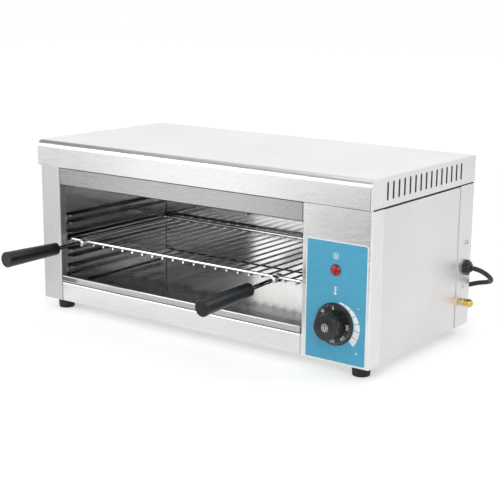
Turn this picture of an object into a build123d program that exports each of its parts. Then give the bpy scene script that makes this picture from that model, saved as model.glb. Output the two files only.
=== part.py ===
from build123d import *
import math
import os

# Electric salamander grill (cheese melter) with a pull-out wire rack and a drip tray.
# Modelled on the worktop: X to the right, Y to the back, Z up, in millimetres.
# X = 0 is the casing's left side, Y = 0 the face of its left front post, Z = 0 the worktop.
# On export everything moves by one vector, so that the object without its cord stands
# centred on the origin.

# ---------------------------------------------------------------- driving dimensions

# casing
casing_width = 598.6
casing_depth = 286.0
casing_height = 211.5            # underside to the lid's lower edge
foot_height = 16.5
sheet = 1.2
fold_radius = 1.0                # inside radius of a fold
seam = 0.2                       # gap between two sheets that meet
left_post_width = 39.0
left_post_return = 12.0
control_width = 106.6
control_proud = 1.0              # the control panel stands in front of the post by this
control_side_return = 27.0
control_inner_return = 9.0
rail_recess = 1.4                # rails lie behind the post's face by this
header_height = 27.5
header_return = 15.0
header_fold_radius = 6.0         # upper fold, inside the lid's rounded edge
bottom_rail_height = 29.3
bottom_rail_return = 15.0
back_return = 41.5
base_flange = 12.0
service_panel_gap = 2.5          # dark line under the lid at the right side
strip_gap = 1.3                  # the same line over the strips beside the service panel
service_panel_lap = 8.0          # the service panel lies behind its neighbours by this
service_panel_flange = 10.0

# lid
lid_height = 39.0
lid_front_overhang = 2.2
lid_back_overhang = 4.9
lid_left_overhang = 4.6
lid_right_overhang = -2.2        # the right end stands back from the casing's side
lid_front_radius = 10.0
lid_back_radius = 2.4
lid_end_radius = 1.0
lid_joint_width = 2.2            # groove where the front meets a flat end
lid_joint_depth = 0.6
vent_count = 15
vent_pitch = 14.8
vent_width = 3.2
vent_height = 23.2
vent_first = 38.0                # first vent's centre, from the front
vent_rise = 8.6                  # lower end of the vents above the lid's edge
lid_screw_inset = 120.0
lid_screw_rise = 18.0

# cooking space
liner_sheet = 1.0
liner_inset = 3.0                # liner walls lie this far outside the mouth's edges
rear_space = 30.0                # liner's back wall to the casing's back
liner_flange = 18.0
liner_corner_gap = 1.5           # side walls end this far before the back wall
ceiling_rise = 5.1               # ceiling above the header's lower edge
runner_levels = 4
runner_pitch = 27.4
runner_height = 12.5
runner_depth = 12.0
runner_front = 16.0
runner_back_gap = 6.0            # runner's end to the back wall
lowest_runner = 39.5             # above the casing's underside
rack_level = 2                   # the rack lies on this level, counted from 0 at the bottom

# heating elements
element_diameter = 6.6
element_drop = 12.0              # centre below the header's lower edge
element_spacing = 44.0           # between the two legs of one hairpin
element_bend = 20.0
front_element_y = 64.0           # front element's first leg
rear_element_gap = 54.0          # rear element's last leg to the back wall
element_left_gap = 26.0          # hairpin's bend to the left wall
element_tail = 20.0              # leg beyond the right wall
hanger_width = 14.0
hanger_margin = 7.0              # hanger's edge beyond the outermost leg
hanger_rim = 1.5                 # strap left under a leg
hanger_positions = (150.0, 320.0)  # from the left wall

# wire rack
frame_wire = 4.5
cross_wire = 3.0
cross_pitch = 19.8
rack_front = 15.0                # front wire's centre, from the post's face
rack_back_gap = 14.0             # back wire's centre to the back wall
rack_side_gap = 1.5              # frame to the mouth's edge
rack_corner = 9.0
slide_gap = 0.3                  # between a sliding piece and what carries it

# rack handles
rod_diameter = 6.0
rod_exposed = 63.0               # front wire to the grip
rod_in_grip = 60.0
grip_length = 95.5
grip_rack_diameter = 18.6
grip_user_diameter = 23.0
grip_rounding = 3.0
eye_diameter = 12.0
eye_width = 6.0
eye_neck = 9.0                   # from the wire's centre to the nut
neck_diameter = 8.4
nut_across = 10.0
nut_thickness = 5.0
fit = 0.05                       # radial clearance of a close fit
left_handle_inset = 43.7         # clamp to the mouth's edge
right_handle_inset = 48.3
left_handle_droop = 0.5          # degrees below level
right_handle_droop = 4.0
left_handle_swing = 3.7          # degrees to the left
right_handle_swing = 3.5

# drip tray
tray_side_gap = 2.0              # lip to the mouth's edge
tray_lip_height = 10.2
tray_lip_return = 6.0
tray_wall_height = 7.0
tray_back_gap = 4.8
tray_sheet = 0.9
tray_face = 0.2                  # lip's face behind the post's face
tray_corner = 4.0

# control panel
label_left_margin = 7.0
label_right_margin = 4.7
label_bottom = 1.4               # above the casing's underside
label_height = 164.1
label_thickness = 0.3
label_corner = 4.0
knob_rise = 54.0                 # knob's axis above the casing's underside
lamp_rise = 127.3
knob_gap = 0.4
skirt_diameter = 58.0
skirt_thickness = 4.2
skirt_taper = 1.6
knob_height = 24.2
knob_grip_diameter = 38.0
knob_front_diameter = 35.5
knob_scallops = 9
scallop_diameter = 11.0
scallop_depth = 1.3
knob_cap_diameter = 11.0
knob_cap_depth = 1.2
knob_recess_diameter = 36.0
knob_recess_depth = 3.4
shaft_diameter = 6.0
shaft_flat = 1.5                 # depth of the flat on the shaft
shaft_hole = 10.0
thermostat_width = 44.0
thermostat_height = 34.0
thermostat_depth = 31.0
thermostat_screw_spacing = 26.0
lens_diameter = 14.0
lens_height = 3.6
lamp_stem = 11.8
lamp_depth = 32.0
lamp_nut_diameter = 18.0
lamp_nut_thickness = 2.5

# thermostat sensor
bulb_diameter = 6.0
bulb_length = 84.0
bulb_back_gap = 26.0             # bulb's centre to the back wall
bulb_drop = 9.0                  # centre below the ceiling
bulb_from_wall = 40.0            # bulb's right end to the right wall
capillary_diameter = 2.0
clip_width = 8.0
capillary_loop = 30.0            # straight length behind the thermostat
capillary_bend = 10.0

# gland, bonding stud and screws on the right rear strip
gland_from_back = 16.0
gland_rise = 87.0                # above the casing's underside
gland_across = 20.4
gland_flange = 5.0
gland_nut_across = 14.0
gland_length = 9.4
gland_thread = 16.0
gland_inside = 11.0
stud_from_back = 27.0
stud_rise = 37.0
stud_diameter = 6.0
stud_nut_across = 10.0
stud_nut_thickness = 5.0
stud_washer_diameter = 12.0
stud_washer_thickness = 1.6
cap_nut_length = 8.1
screw_shank = 3.8
screw_head = 7.0
screw_head_height = 1.8
strip_screw_from_back = 17.2
strip_screw_rise = 124.8
strip_rivet_from_back = 21.3
strip_rivet_rise = 58.6
rivet_head = 4.4
back_screw_inset = 60.0
back_screw_rises = (24.0, 190.0)

# feet
left_foot_inset = 27.0
right_foot_inset = 24.1
rear_foot_inset = 42.0           # rear feet, from either side
foot_inset_y = 22.0
foot_top_diameter = 27.0
foot_bottom_diameter = 24.0
foot_recess_diameter = 11.0
foot_recess_depth = 8.0

# terminal block and the lead inside
block_size = (26.0, 44.0, 19.0)
block_from_side = 52.0           # block's centre to the casing's right side
block_from_back = 90.0
block_pole_pitch = 13.0
lead_bend = 18.0
lead_straight = 22.0             # straight length before the terminal block

# cord
cord_diameter = 7.0
cord_bend_share = 0.45           # share of the shorter run that an arc's tangent takes
# free stretch, from the gland's mouth: out to the right, round the rear corner in one tight
# turn, down behind the casing and along the worktop to the coil
cord_route = [
    (0.0, 0.0, 0.0),
    (10.0, 0.0, 0.0),
    (23.0, 4.5, -7.0),
    (25.5, 16.0, -16.5),
    (18.5, 25.5, -23.0),
    (-5.5, 30.0, -29.0),
    (-32.0, 32.0, -40.0),
    (-60.0, 34.5, -56.5),
    (-84.0, 36.5, -77.0),
    (-111.0, 37.0, -93.0),
    (-143.0, 36.0, -99.0),
    (-174.0, 36.0, -99.0),
]
# from the coil to the plug
lead_route = [
    (0.0, 0.0, 0.0),
    (-19.0, 0.0, 0.0),
    (-37.0, 6.0, 0.0),
    (-52.0, 17.5, 0.0),
]
coil_inner_radius = 28.5
coil_turns_per_layer = 2.25
coil_pitch = 7.8                 # between neighbouring turns of a layer
coil_layer_step = 7.7
tie_width = 9.0
tie_thickness = 0.7
tie_gap = 0.3

# plug lying on its back, pins up
plug_width = 48.0
plug_length = 50.0
plug_thickness = 21.0
plug_base_radius = 6.0
plug_relief_length = 24.0
plug_relief_diameter = 14.0
live_pin = (6.35, 4.0, 17.7)
earth_pin = (4.0, 8.0, 22.7)
pin_spacing = 22.2
pin_from_entry = 16.0

# ---------------------------------------------------------------- positions that follow

casing_bottom = foot_height
casing_top = foot_height + casing_height
lid_top = casing_top + lid_height
lid_underside = lid_top - sheet
lid_x = (-lid_left_overhang, casing_width + lid_right_overhang)
mouth = (left_post_width, casing_width - control_width)
mouth_centre = (mouth[0] + mouth[1]) / 2
header_bottom = casing_top - header_height
bottom_rail_top = casing_bottom + bottom_rail_height
panel_face = -control_proud
panel_back = panel_face + sheet
label_face = panel_face - label_thickness
liner = (mouth[0] - liner_inset, mouth[1] + liner_inset)
liner_depth = casing_depth - rear_space
runner_length = liner_depth - runner_back_gap - runner_front
rear_element_y = liner_depth - rear_element_gap - element_spacing
bulb_y = liner_depth - bulb_back_gap
liner_floor_top = bottom_rail_top + liner_sheet
ceiling_underside = header_bottom + ceiling_rise
ceiling_top = ceiling_underside + liner_sheet
control_axis_x = (mouth[1] + casing_width) / 2
knob_z = casing_bottom + knob_rise
lamp_z = casing_bottom + lamp_rise
knob_back = label_face - knob_gap
element_z = header_bottom - element_drop
gland_z = casing_bottom + gland_rise
stud_z = casing_bottom + stud_rise
back_inside = casing_depth - sheet
gland_y = casing_depth - gland_from_back
stud_y = casing_depth - stud_from_back
strip_screw_place = (casing_depth - strip_screw_from_back, casing_bottom + strip_screw_rise)
strip_rivet_place = (casing_depth - strip_rivet_from_back, casing_bottom + strip_rivet_rise)
block_y = casing_depth - block_from_back


def runner_z(level):
    """Height of the underside of the runners of one level."""
    return casing_bottom + lowest_runner + level * runner_pitch


rack_z = runner_z(rack_level) + liner_sheet + slide_gap + frame_wire / 2
rack_x = (mouth[0] + rack_side_gap + frame_wire / 2, mouth[1] - rack_side_gap - frame_wire / 2)
rack_back = liner_depth - rack_back_gap
cross_z = rack_z - (frame_wire + cross_wire) / 2
handles = {
    "left": (mouth[0] + left_handle_inset, left_handle_droop, left_handle_swing),
    "right": (mouth[1] - right_handle_inset, right_handle_droop, right_handle_swing),
}
tray_bottom = liner_floor_top + slide_gap
tray_back = liner_depth - tray_back_gap
tray_x = (mouth[0] + tray_side_gap, mouth[1] - tray_side_gap)

# ---------------------------------------------------------------- helpers


def block(x0, x1, y0, y1, z0, z1):
    """Box between two corners."""
    centre = Pos((x0 + x1) / 2, (y0 + y1) / 2, (z0 + z1) / 2)
    return centre * Box(x1 - x0, y1 - y0, z1 - z0)


def rod_x(x0, x1, y, z, diameter):
    """Round bar along X."""
    return Pos((x0 + x1) / 2, y, z) * Rot(0, 90, 0) * Cylinder(diameter / 2, x1 - x0)


def rod_y(x, y0, y1, z, diameter):
    """Round bar along Y."""
    return Pos(x, (y0 + y1) / 2, z) * Rot(90, 0, 0) * Cylinder(diameter / 2, y1 - y0)


def rod_z(x, y, z0, z1, diameter):
    """Round bar along Z."""
    return Pos(x, y, (z0 + z1) / 2) * Cylinder(diameter / 2, z1 - z0)


def hexagon(origin, direction, across_flats, length, turn=0):
    """Hexagonal bar from a point along a direction."""
    outline = RegularPolygon(across_flats / 2, 6, major_radius=False, rotation=turn)
    return extrude(Plane(origin=origin, z_dir=direction) * outline, amount=length)


def folded(points, side, thickness=sheet, radius=None):
    """Section of a folded sheet, drawn by its outer face."""
    outer = FilletPolyline(*points, radius=radius or fold_radius + thickness)
    return make_face(offset(outer, amount=thickness, side=side))


def along_x(section, x0, x1):
    """Extrude a section drawn as (Y, Z) from x0 to x1."""
    return extrude(Plane.YZ.offset(x0) * section, amount=x1 - x0)


def along_y(section, y0, y1):
    """Extrude a section drawn as (X, Z) from y0 to y1."""
    return extrude(Plane.XZ.offset(-y1) * section, amount=y1 - y0)


def along_z(section, z0, z1):
    """Extrude a section drawn as (X, Y) from z0 to z1."""
    return extrude(Plane.XY.offset(z0) * section, amount=z1 - z0)


def tube(path, diameter):
    """Round tube along a path, filled."""
    start = Plane(origin=path @ 0, z_dir=path % 0)
    return sweep(start * Circle(diameter / 2), path=path)


def screw_x(x_face, y, z, head, direction, grip):
    """Pan-head screw through a sheet; the head lies on x_face, outwards along direction."""
    head_end = x_face + direction * screw_head_height
    tip = x_face - direction * grip
    shank_diameter = screw_shank * head / screw_head
    cap = rod_x(min(x_face, head_end), max(x_face, head_end), y, z, head)
    cap = fillet(cap.faces().sort_by(Axis.X)[-1 if direction > 0 else 0].edges(), 0.7)
    return cap + rod_x(min(x_face, tip), max(x_face, tip), y, z, shank_diameter)


def screw_y(x, y_face, z, head, direction, grip):
    """Pan-head screw through a sheet; the head lies on y_face, outwards along direction."""
    head_end = y_face + direction * screw_head_height
    tip = y_face - direction * grip
    cap = rod_y(x, min(y_face, head_end), max(y_face, head_end), z, head)
    cap = fillet(cap.faces().sort_by(Axis.Y)[-1 if direction > 0 else 0].edges(), 0.7)
    return cap + rod_y(x, min(y_face, tip), max(y_face, tip), z, screw_shank)


# ---------------------------------------------------------------- lid


def lid_section(inset):
    """Closed section of the lid, or of its inside when inset by the sheet."""
    front = -lid_front_overhang + inset
    back = casing_depth + lid_back_overhang - inset
    top = lid_top - inset
    outline = FilletPolyline(
        (front, casing_top),
        (front, top),
        (back, top),
        (back, casing_top),
        radius=[lid_front_radius - inset, lid_back_radius - inset],
    )
    return make_face([*outline.edges(), Line((back, casing_top), (front, casing_top))])


def lid_screw_places():
    """X and Z of the two screws in the lid's back flange."""
    z = casing_top + lid_screw_rise
    return [(lid_screw_inset, z), (casing_width - lid_screw_inset, z)]


def lid_joint(x0, x1):
    """Shallow groove down the front, where it is welded to a flat end."""
    back = -lid_front_overhang + lid_front_radius
    front = block(x0, x1, -lid_front_overhang - 1, back, casing_top - 1, lid_top + 1)
    return (along_x(lid_section(-1), x0, x1) - along_x(lid_section(lid_joint_depth), x0, x1)) & front


def make_top_cover():
    """Lid folded from one sheet: rounded front edge, flat ends with vent slots."""
    outer = along_x(lid_section(0), *lid_x)
    for end in (0, -1):
        rim = outer.faces().sort_by(Axis.X)[end].edges().sort_by(Axis.Z)[1:]
        outer = fillet(rim, lid_end_radius)
    inner = along_x(lid_section(sheet), lid_x[0] + sheet, lid_x[1] - sheet)
    lid = outer - inner
    vent = Rot(0, 0, 90) * SlotOverall(vent_height, vent_width)
    vent_z = casing_top + vent_rise + vent_height / 2
    vents = Sketch() + [Pos(vent_first + i * vent_pitch, vent_z) * vent for i in range(vent_count)]
    lid -= along_x(vents, lid_x[0] - 1, lid_x[1] + 1)
    for x in (lid_x[0] + sheet, lid_x[1] - sheet - lid_joint_width):
        lid -= lid_joint(x, x + lid_joint_width)
    back = casing_depth + lid_back_overhang
    for x, z in lid_screw_places():
        lid -= rod_y(x, back - 2 * sheet, back + sheet, z, screw_shank + 2 * fit)
    return lid


def make_lid_screws():
    """Two screws through the lid's back flange and its spacers into the back panel."""
    back = casing_depth + lid_back_overhang
    grip = lid_back_overhang + 3 * sheet
    return [screw_y(x, back, z, screw_head, 1, grip) for x, z in lid_screw_places()]


def make_lid_spacers():
    """Two sleeves between the back panel and the lid's back flange."""
    y1 = casing_depth + lid_back_overhang - sheet
    sleeves = []
    for x, z in lid_screw_places():
        bore = rod_y(x, casing_depth - 1, y1 + 1, z, screw_shank + 2 * fit)
        sleeves.append(rod_y(x, casing_depth, y1, z, 2 * screw_shank) - bore)
    return sleeves


# ---------------------------------------------------------------- outer casing


def base_clearance(x0, x1):
    """Space that a post's inner return leaves free for the floor pan."""
    top = casing_bottom + base_flange + seam
    return block(x0, x1, rail_recess + sheet, left_post_return + 1, casing_bottom - 1, top)


def strip_clearance(y0, y1):
    """Space under the lid's edge over the strips of the right side."""
    return block(casing_width - 2 * sheet, casing_width + 1, y0, y1, casing_top - strip_gap, casing_top)


def make_left_side_panel():
    """Left side with the front post and its inner return folded on."""
    outline = [
        (left_post_width, left_post_return),
        (left_post_width, 0),
        (0, 0),
        (0, casing_depth - back_return - seam),
    ]
    panel = along_z(folded(outline, Side.RIGHT), casing_bottom, casing_top - seam)
    return panel - base_clearance(left_post_width - 2 * sheet, left_post_width + 1)


def make_control_panel():
    """Front of the control end, folded round to the right side."""
    outline = [
        (mouth[1], panel_face + control_inner_return),
        (mouth[1], panel_face),
        (casing_width, panel_face),
        (casing_width, control_side_return),
    ]
    panel = along_z(folded(outline, Side.LEFT), casing_bottom, casing_top - seam)
    panel -= strip_clearance(panel_back, control_side_return + 1)
    panel -= base_clearance(mouth[1] - 1, mouth[1] + 2 * sheet)
    panel -= rod_y(control_axis_x, panel_face - 1, panel_back + 1, knob_z, shaft_hole)
    panel -= rod_y(control_axis_x, panel_face - 1, panel_back + 1, lamp_z, lamp_stem + 4 * fit)
    for x in thermostat_screw_places():
        panel -= rod_y(x, panel_face - 1, panel_back + 1, knob_z, screw_shank + 2 * fit)
    return panel


def make_right_side_panel():
    """Inset service panel, held behind its neighbours' edges, flange at the top."""
    x = casing_width - sheet - seam
    top = casing_top - service_panel_gap
    outline = [(x - service_panel_flange, top), (x, top), (x, casing_bottom)]
    front = control_side_return - service_panel_lap
    back = casing_depth - back_return + service_panel_lap
    return along_y(folded(outline, Side.RIGHT), front, back)


def right_strip_holes():
    """Holes through the right rear strip: gland, bonding stud, screw and rivet."""
    x0 = casing_width - 2 * sheet
    x1 = casing_width + 1
    small = screw_shank * rivet_head / screw_head
    return [
        rod_x(x0, x1, gland_y, gland_z, gland_thread + 2 * fit),
        rod_x(x0, x1, stud_y, stud_z, stud_diameter + 2 * fit),
        rod_x(x0, x1, *strip_screw_place, screw_shank + 2 * fit),
        rod_x(x0, x1, *strip_rivet_place, small + 2 * fit),
    ]


def back_screw_places():
    """X and Z of the four screws of the back."""
    xs = (back_screw_inset, casing_width - back_screw_inset)
    return [(x, casing_bottom + rise) for x in xs for rise in back_screw_rises]


def make_back_panel():
    """Back with a return on each side and an upstand that carries the lid."""
    front = casing_depth - back_return
    outline = [(0, front), (0, casing_depth), (casing_width, casing_depth), (casing_width, front)]
    panel = along_z(folded(outline, Side.RIGHT), casing_bottom, casing_top - seam)
    panel -= strip_clearance(front - 1, back_inside)
    top = lid_underside - seam
    upstand = folded(
        [(casing_depth - header_return, top), (casing_depth, top), (casing_depth, header_bottom)],
        Side.RIGHT,
    )
    inset = lid_screw_inset / 10
    panel += along_x(upstand, inset, casing_width - inset)
    for hole in right_strip_holes():
        panel -= hole
    panel -= rod_x(-1, 2 * sheet, *strip_screw_place, screw_shank + 2 * fit)
    for x, z in lid_screw_places() + back_screw_places():
        panel -= rod_y(x, casing_depth - 2 * sheet, casing_depth + 1, z, screw_shank + 2 * fit)
    return panel


def make_header_rail():
    """Rail over the mouth; its top return carries the lid's front."""
    top = lid_underside - seam
    outline = [
        (header_return, header_bottom),
        (rail_recess, header_bottom),
        (rail_recess, top),
        (header_return, top),
    ]
    radii = [fold_radius + sheet, header_fold_radius]
    return along_x(folded(outline, Side.RIGHT, radius=radii), mouth[0] + seam, mouth[1] - seam)


def make_bottom_rail():
    """Rail under the drip tray; its top return carries the liner's floor."""
    outline = [
        (bottom_rail_return, bottom_rail_top),
        (rail_recess, bottom_rail_top),
        (rail_recess, casing_bottom),
    ]
    return along_x(folded(outline, Side.LEFT), mouth[0] + seam, mouth[1] - seam)


def foot_places():
    """X and Y of the four feet, the front ones nearer to the corners."""
    rear_y = casing_depth - foot_inset_y
    return [
        (left_foot_inset, foot_inset_y),
        (casing_width - right_foot_inset, foot_inset_y),
        (rear_foot_inset, rear_y),
        (casing_width - rear_foot_inset, rear_y),
    ]


def make_base_panel():
    """Floor pan with an upturned flange all round."""
    x0 = sheet + seam
    x1 = casing_width - 2 * x0
    y0 = rail_recess + sheet + seam
    y1 = back_inside - seam
    corner = fold_radius + sheet
    outer = block(x0, x1, y0, y1, casing_bottom, casing_bottom + base_flange)
    outer = fillet(outer.edges().filter_by(Axis.Z), corner)
    inner = block(
        x0 + sheet, x1 - sheet, y0 + sheet, y1 - sheet, casing_bottom + sheet, casing_top
    )
    inner = fillet(inner.edges().filter_by(Axis.Z), fold_radius)
    pan = outer - inner
    for x, y in foot_places():
        pan -= rod_z(x, y, casing_bottom - 1, casing_bottom + 2 * sheet, screw_shank + 2 * fit)
    return pan


def make_rubber_feet():
    """Four tapered rubber feet with a screw recess from below."""
    feet = []
    for x, y in foot_places():
        cone = Cone(foot_bottom_diameter / 2, foot_top_diameter / 2, foot_height)
        cone = fillet(cone.edges().sort_by(Axis.Z)[0], 1.5)
        foot = Pos(x, y, foot_height / 2) * cone
        foot -= rod_z(x, y, -1, foot_recess_depth, foot_recess_diameter)
        foot -= rod_z(x, y, 0, foot_height + 1, screw_shank + 2 * fit)
        feet.append(foot)
    return feet


def make_foot_screws():
    """Four screws that hold the feet to the floor pan."""
    screws = []
    for x, y in foot_places():
        head_z = foot_recess_depth - 2 * screw_head_height
        head = rod_z(x, y, head_z, foot_recess_depth, 1.3 * screw_head)
        screws.append(head + rod_z(x, y, head_z, casing_bottom + 4 * sheet, screw_shank))
    return screws


def make_casing_screws():
    """Pan-head screws and a rivet on the rear strips and on the back."""
    grip = 4 * sheet
    screws = [
        screw_x(casing_width, *strip_screw_place, screw_head, 1, grip),
        screw_x(0, *strip_screw_place, screw_head, -1, grip),
        screw_x(casing_width, *strip_rivet_place, rivet_head, 1, grip),
    ]
    for x, z in back_screw_places():
        screws.append(screw_y(x, casing_depth, z, screw_head, 1, grip))
    return screws


# ---------------------------------------------------------------- liner of the cooking space


def element_leg_places():
    """Y of the four element legs."""
    return [
        start + leg for start in (front_element_y, rear_element_y) for leg in (0, element_spacing)
    ]


def make_cavity_wall(side):
    """Left or right wall of the liner with a flange behind the post."""
    front = sheet + seam
    outline = [
        (liner[0] - liner_flange, front),
        (liner[0], front),
        (liner[0], liner_depth - liner_corner_gap),
    ]
    section = folded(outline, Side.LEFT, liner_sheet)
    wall = along_z(section, bottom_rail_top, ceiling_top)
    if side == "left":
        return wall
    wall = mirror(wall, about=Plane.YZ.offset(mouth_centre))
    x0 = liner[1] - 1
    x1 = liner[1] + 2 * liner_sheet
    for y in element_leg_places():
        wall -= rod_x(x0, x1, y, element_z, element_diameter + 2 * fit)
    bulb_z = ceiling_underside - bulb_drop
    return wall - rod_x(x0, x1, bulb_y, bulb_z, capillary_diameter + 2 * fit)


def make_runners(side):
    """C-shaped runners of one wall, open towards the cooking space."""
    runners = []
    for level in range(runner_levels):
        z = runner_z(level)
        outline = [
            (liner[0] + runner_depth, z),
            (liner[0], z),
            (liner[0], z + runner_height),
            (liner[0] + runner_depth, z + runner_height),
        ]
        line = FilletPolyline(*outline, radius=1.5 * liner_sheet)
        section = make_face(offset(line, amount=liner_sheet, side=Side.RIGHT))
        runner = along_y(section, runner_front, runner_front + runner_length)
        if side == "right":
            runner = mirror(runner, about=Plane.YZ.offset(mouth_centre))
        runners.append(runner)
    return runners


def make_cavity_back_wall():
    """Back wall of the liner, standing on the floor pan."""
    return block(
        liner[0] - liner_sheet,
        liner[1] + liner_sheet,
        liner_depth,
        liner_depth + liner_sheet,
        casing_bottom + sheet,
        ceiling_top,
    )


def make_cavity_floor():
    """Floor of the liner, lying on the bottom rail's return."""
    x0 = liner[0] + seam
    x1 = liner[1] - seam
    y0 = left_post_return + seam
    return block(x0, x1, y0, liner_depth - seam, bottom_rail_top, liner_floor_top)


def make_cavity_ceiling():
    """Reflector over the elements; its front lip stands on the header's return."""
    front = left_post_return + seam
    outline = [
        (front, header_bottom + sheet + seam),
        (front, ceiling_top),
        (liner_depth - seam, ceiling_top),
    ]
    return along_x(folded(outline, Side.RIGHT, liner_sheet), liner[0] + seam, liner[1] - seam)


def make_heating_element(first_y):
    """Sheathed hairpin element: two legs, one bend, tails through the right wall."""
    left = liner[0] + element_left_gap
    right = liner[1] + element_tail
    second_y = first_y + element_spacing
    path = FilletPolyline(
        (right, first_y, element_z),
        (left, first_y, element_z),
        (left, second_y, element_z),
        (right, second_y, element_z),
        radius=element_bend,
    )
    element = tube(path, element_diameter)
    for y in (first_y, second_y):
        element += rod_x(right - 1, right + element_tail / 2, y, element_z, element_diameter / 2)
    return element


def make_element_hangers():
    """Two straps under the ceiling that hold the element legs."""
    hangers = []
    legs = element_leg_places()
    y0 = legs[0] - hanger_margin
    y1 = legs[-1] + hanger_margin
    for place in hanger_positions:
        x = liner[0] + place
        outline = [
            (x + hanger_width, ceiling_underside),
            (x, ceiling_underside),
            (x, element_z - element_diameter / 2 - hanger_rim),
        ]
        strap = along_y(folded(outline, Side.LEFT, liner_sheet), y0, y1)
        for y in legs:
            strap -= rod_x(x - 1, x + 2, y, element_z, element_diameter + 2 * fit)
        hangers.append(strap)
    return hangers


# ---------------------------------------------------------------- wire rack with its handles


def make_rack_frame():
    """Outer wire of the rack, one closed loop with round corners."""
    x0, x1 = rack_x
    path = FilletPolyline(
        (x0, rack_front, rack_z),
        (x1, rack_front, rack_z),
        (x1, rack_back, rack_z),
        (x0, rack_back, rack_z),
        radius=rack_corner,
        close=True,
    )
    return tube(path, frame_wire)


def make_cross_wires():
    """Straight wires under the frame, front to back, between the runners."""
    reach = mouth_centre - liner[0] - runner_depth - cross_wire
    each_side = int(reach / cross_pitch + 0.5)
    y0 = rack_front - frame_wire / 2
    y1 = rack_back + frame_wire / 2
    return [
        rod_y(mouth_centre + (i + 0.5) * cross_pitch, y0, y1, cross_z, cross_wire)
        for i in range(-each_side, each_side)
    ]


def make_handle_parts():
    """Clamp, nut, rod and grip of one handle: front wire at the origin, handle along -Y."""
    eye = rod_x(-eye_width / 2, eye_width / 2, 0, 0, eye_diameter)
    eye = fillet(eye.edges().filter_by(GeomType.CIRCLE), 0.8)
    clamp = eye + rod_y(0, -eye_neck, -eye_diameter / 3, 0, neck_diameter)
    rod_start = -eye_neck + 2.2
    clamp -= rod_y(0, -eye_neck - 1, rod_start, 0, rod_diameter + 2 * fit)
    nut_end = -eye_neck - nut_thickness
    nut = hexagon((0, nut_end, 0), (0, 1, 0), nut_across, nut_thickness)
    nut -= rod_y(0, nut_end - 1, 0, 0, rod_diameter + 2 * fit)
    grip_start = -rod_exposed
    grip_end = grip_start - grip_length
    rod = rod_y(0, grip_start - rod_in_grip, rod_start - fit, 0, rod_diameter)
    r_rack = grip_rack_diameter / 2
    r_user = grip_user_diameter / 2
    dish = r_user - 2.5
    profile = Polyline(
        (0, grip_start),
        (r_rack, grip_start),
        (r_user, grip_end),
        (dish, grip_end),
        (dish - 1, grip_end + 0.8),
        (0, grip_end + 0.8),
        close=True,
    )
    face = make_face(profile)
    corners = [face.vertices().sort_by_distance((r_rack, grip_start))[0]]
    corners.append(face.vertices().sort_by_distance((r_user, grip_end))[0])
    face = fillet(corners, grip_rounding / 2)
    grip = revolve(face, Axis.Y)
    grip -= rod_y(0, grip_start - rod_in_grip - 1, grip_start + 1, 0, rod_diameter + 2 * fit)
    return {"handle_clamp": clamp, "clamp_nut": nut, "handle_rod": rod, "handle_grip": grip}


def place_handle(piece, side):
    """Move one piece of a handle to its place on the front wire, drooping and swung a little."""
    x, droop, swing = handles[side]
    return Pos(x, rack_front, rack_z) * Rot(0, 0, -swing) * Rot(droop, 0, 0) * piece


# ---------------------------------------------------------------- drip tray


def make_drip_tray():
    """Shallow tray with a folded front lip."""
    x0, x1 = tray_x
    y1 = tray_back
    wall_top = tray_bottom + tray_wall_height
    outer = block(x0, x1, tray_face + tray_sheet, y1, tray_bottom, wall_top)
    back_edges = outer.edges().filter_by(Axis.Z).group_by(Axis.Y)[-1]
    outer = fillet(back_edges, tray_corner)
    inner = block(
        x0 + tray_sheet, x1 - tray_sheet, tray_face, y1 - tray_sheet,
        tray_bottom + tray_sheet, wall_top + 1,
    )
    inner_edges = inner.edges().filter_by(Axis.Z).group_by(Axis.Y)[-1]
    inner = fillet(inner_edges, tray_corner - tray_sheet)
    lip_top = tray_bottom + tray_lip_height
    lip = folded(
        [
            (tray_face + tray_lip_return, lip_top - tray_sheet),
            (tray_face, lip_top),
            (tray_face, tray_bottom),
            (tray_face + tray_lip_return, tray_bottom),
        ],
        Side.LEFT,
        tray_sheet,
    )
    return outer - inner + along_x(lip, x0, x1)


# ---------------------------------------------------------------- controls


def thermostat_screw_places():
    """X of the thermostat's two screws."""
    half = thermostat_screw_spacing / 2
    return [control_axis_x - half, control_axis_x + half]


def make_panel_label():
    """Thin label on the control panel with openings for the lamp and the shaft."""
    x0 = mouth[1] + label_left_margin
    x1 = casing_width - label_right_margin
    z0 = casing_bottom + label_bottom
    plate = block(x0, x1, label_face, panel_face, z0, z0 + label_height)
    plate = fillet(plate.edges().filter_by(Axis.Y), label_corner)
    plate -= rod_y(control_axis_x, label_face - 1, 0, knob_z, knob_recess_diameter)
    return plate - rod_y(control_axis_x, label_face - 1, 0, lamp_z, lamp_stem + 4 * fit)


def shaft_solid(radial_gap, y0, y1):
    """Shaft with its flat, widened by a gap where it is a bore."""
    radius = shaft_diameter / 2
    bar = rod_y(0, y0, y1, 0, shaft_diameter + 2 * radial_gap)
    flat_z = radius - shaft_flat + radial_gap
    cut = block(-shaft_diameter, shaft_diameter, y0 - 1, y1 + 1, flat_z, shaft_diameter)
    return bar - cut


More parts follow.
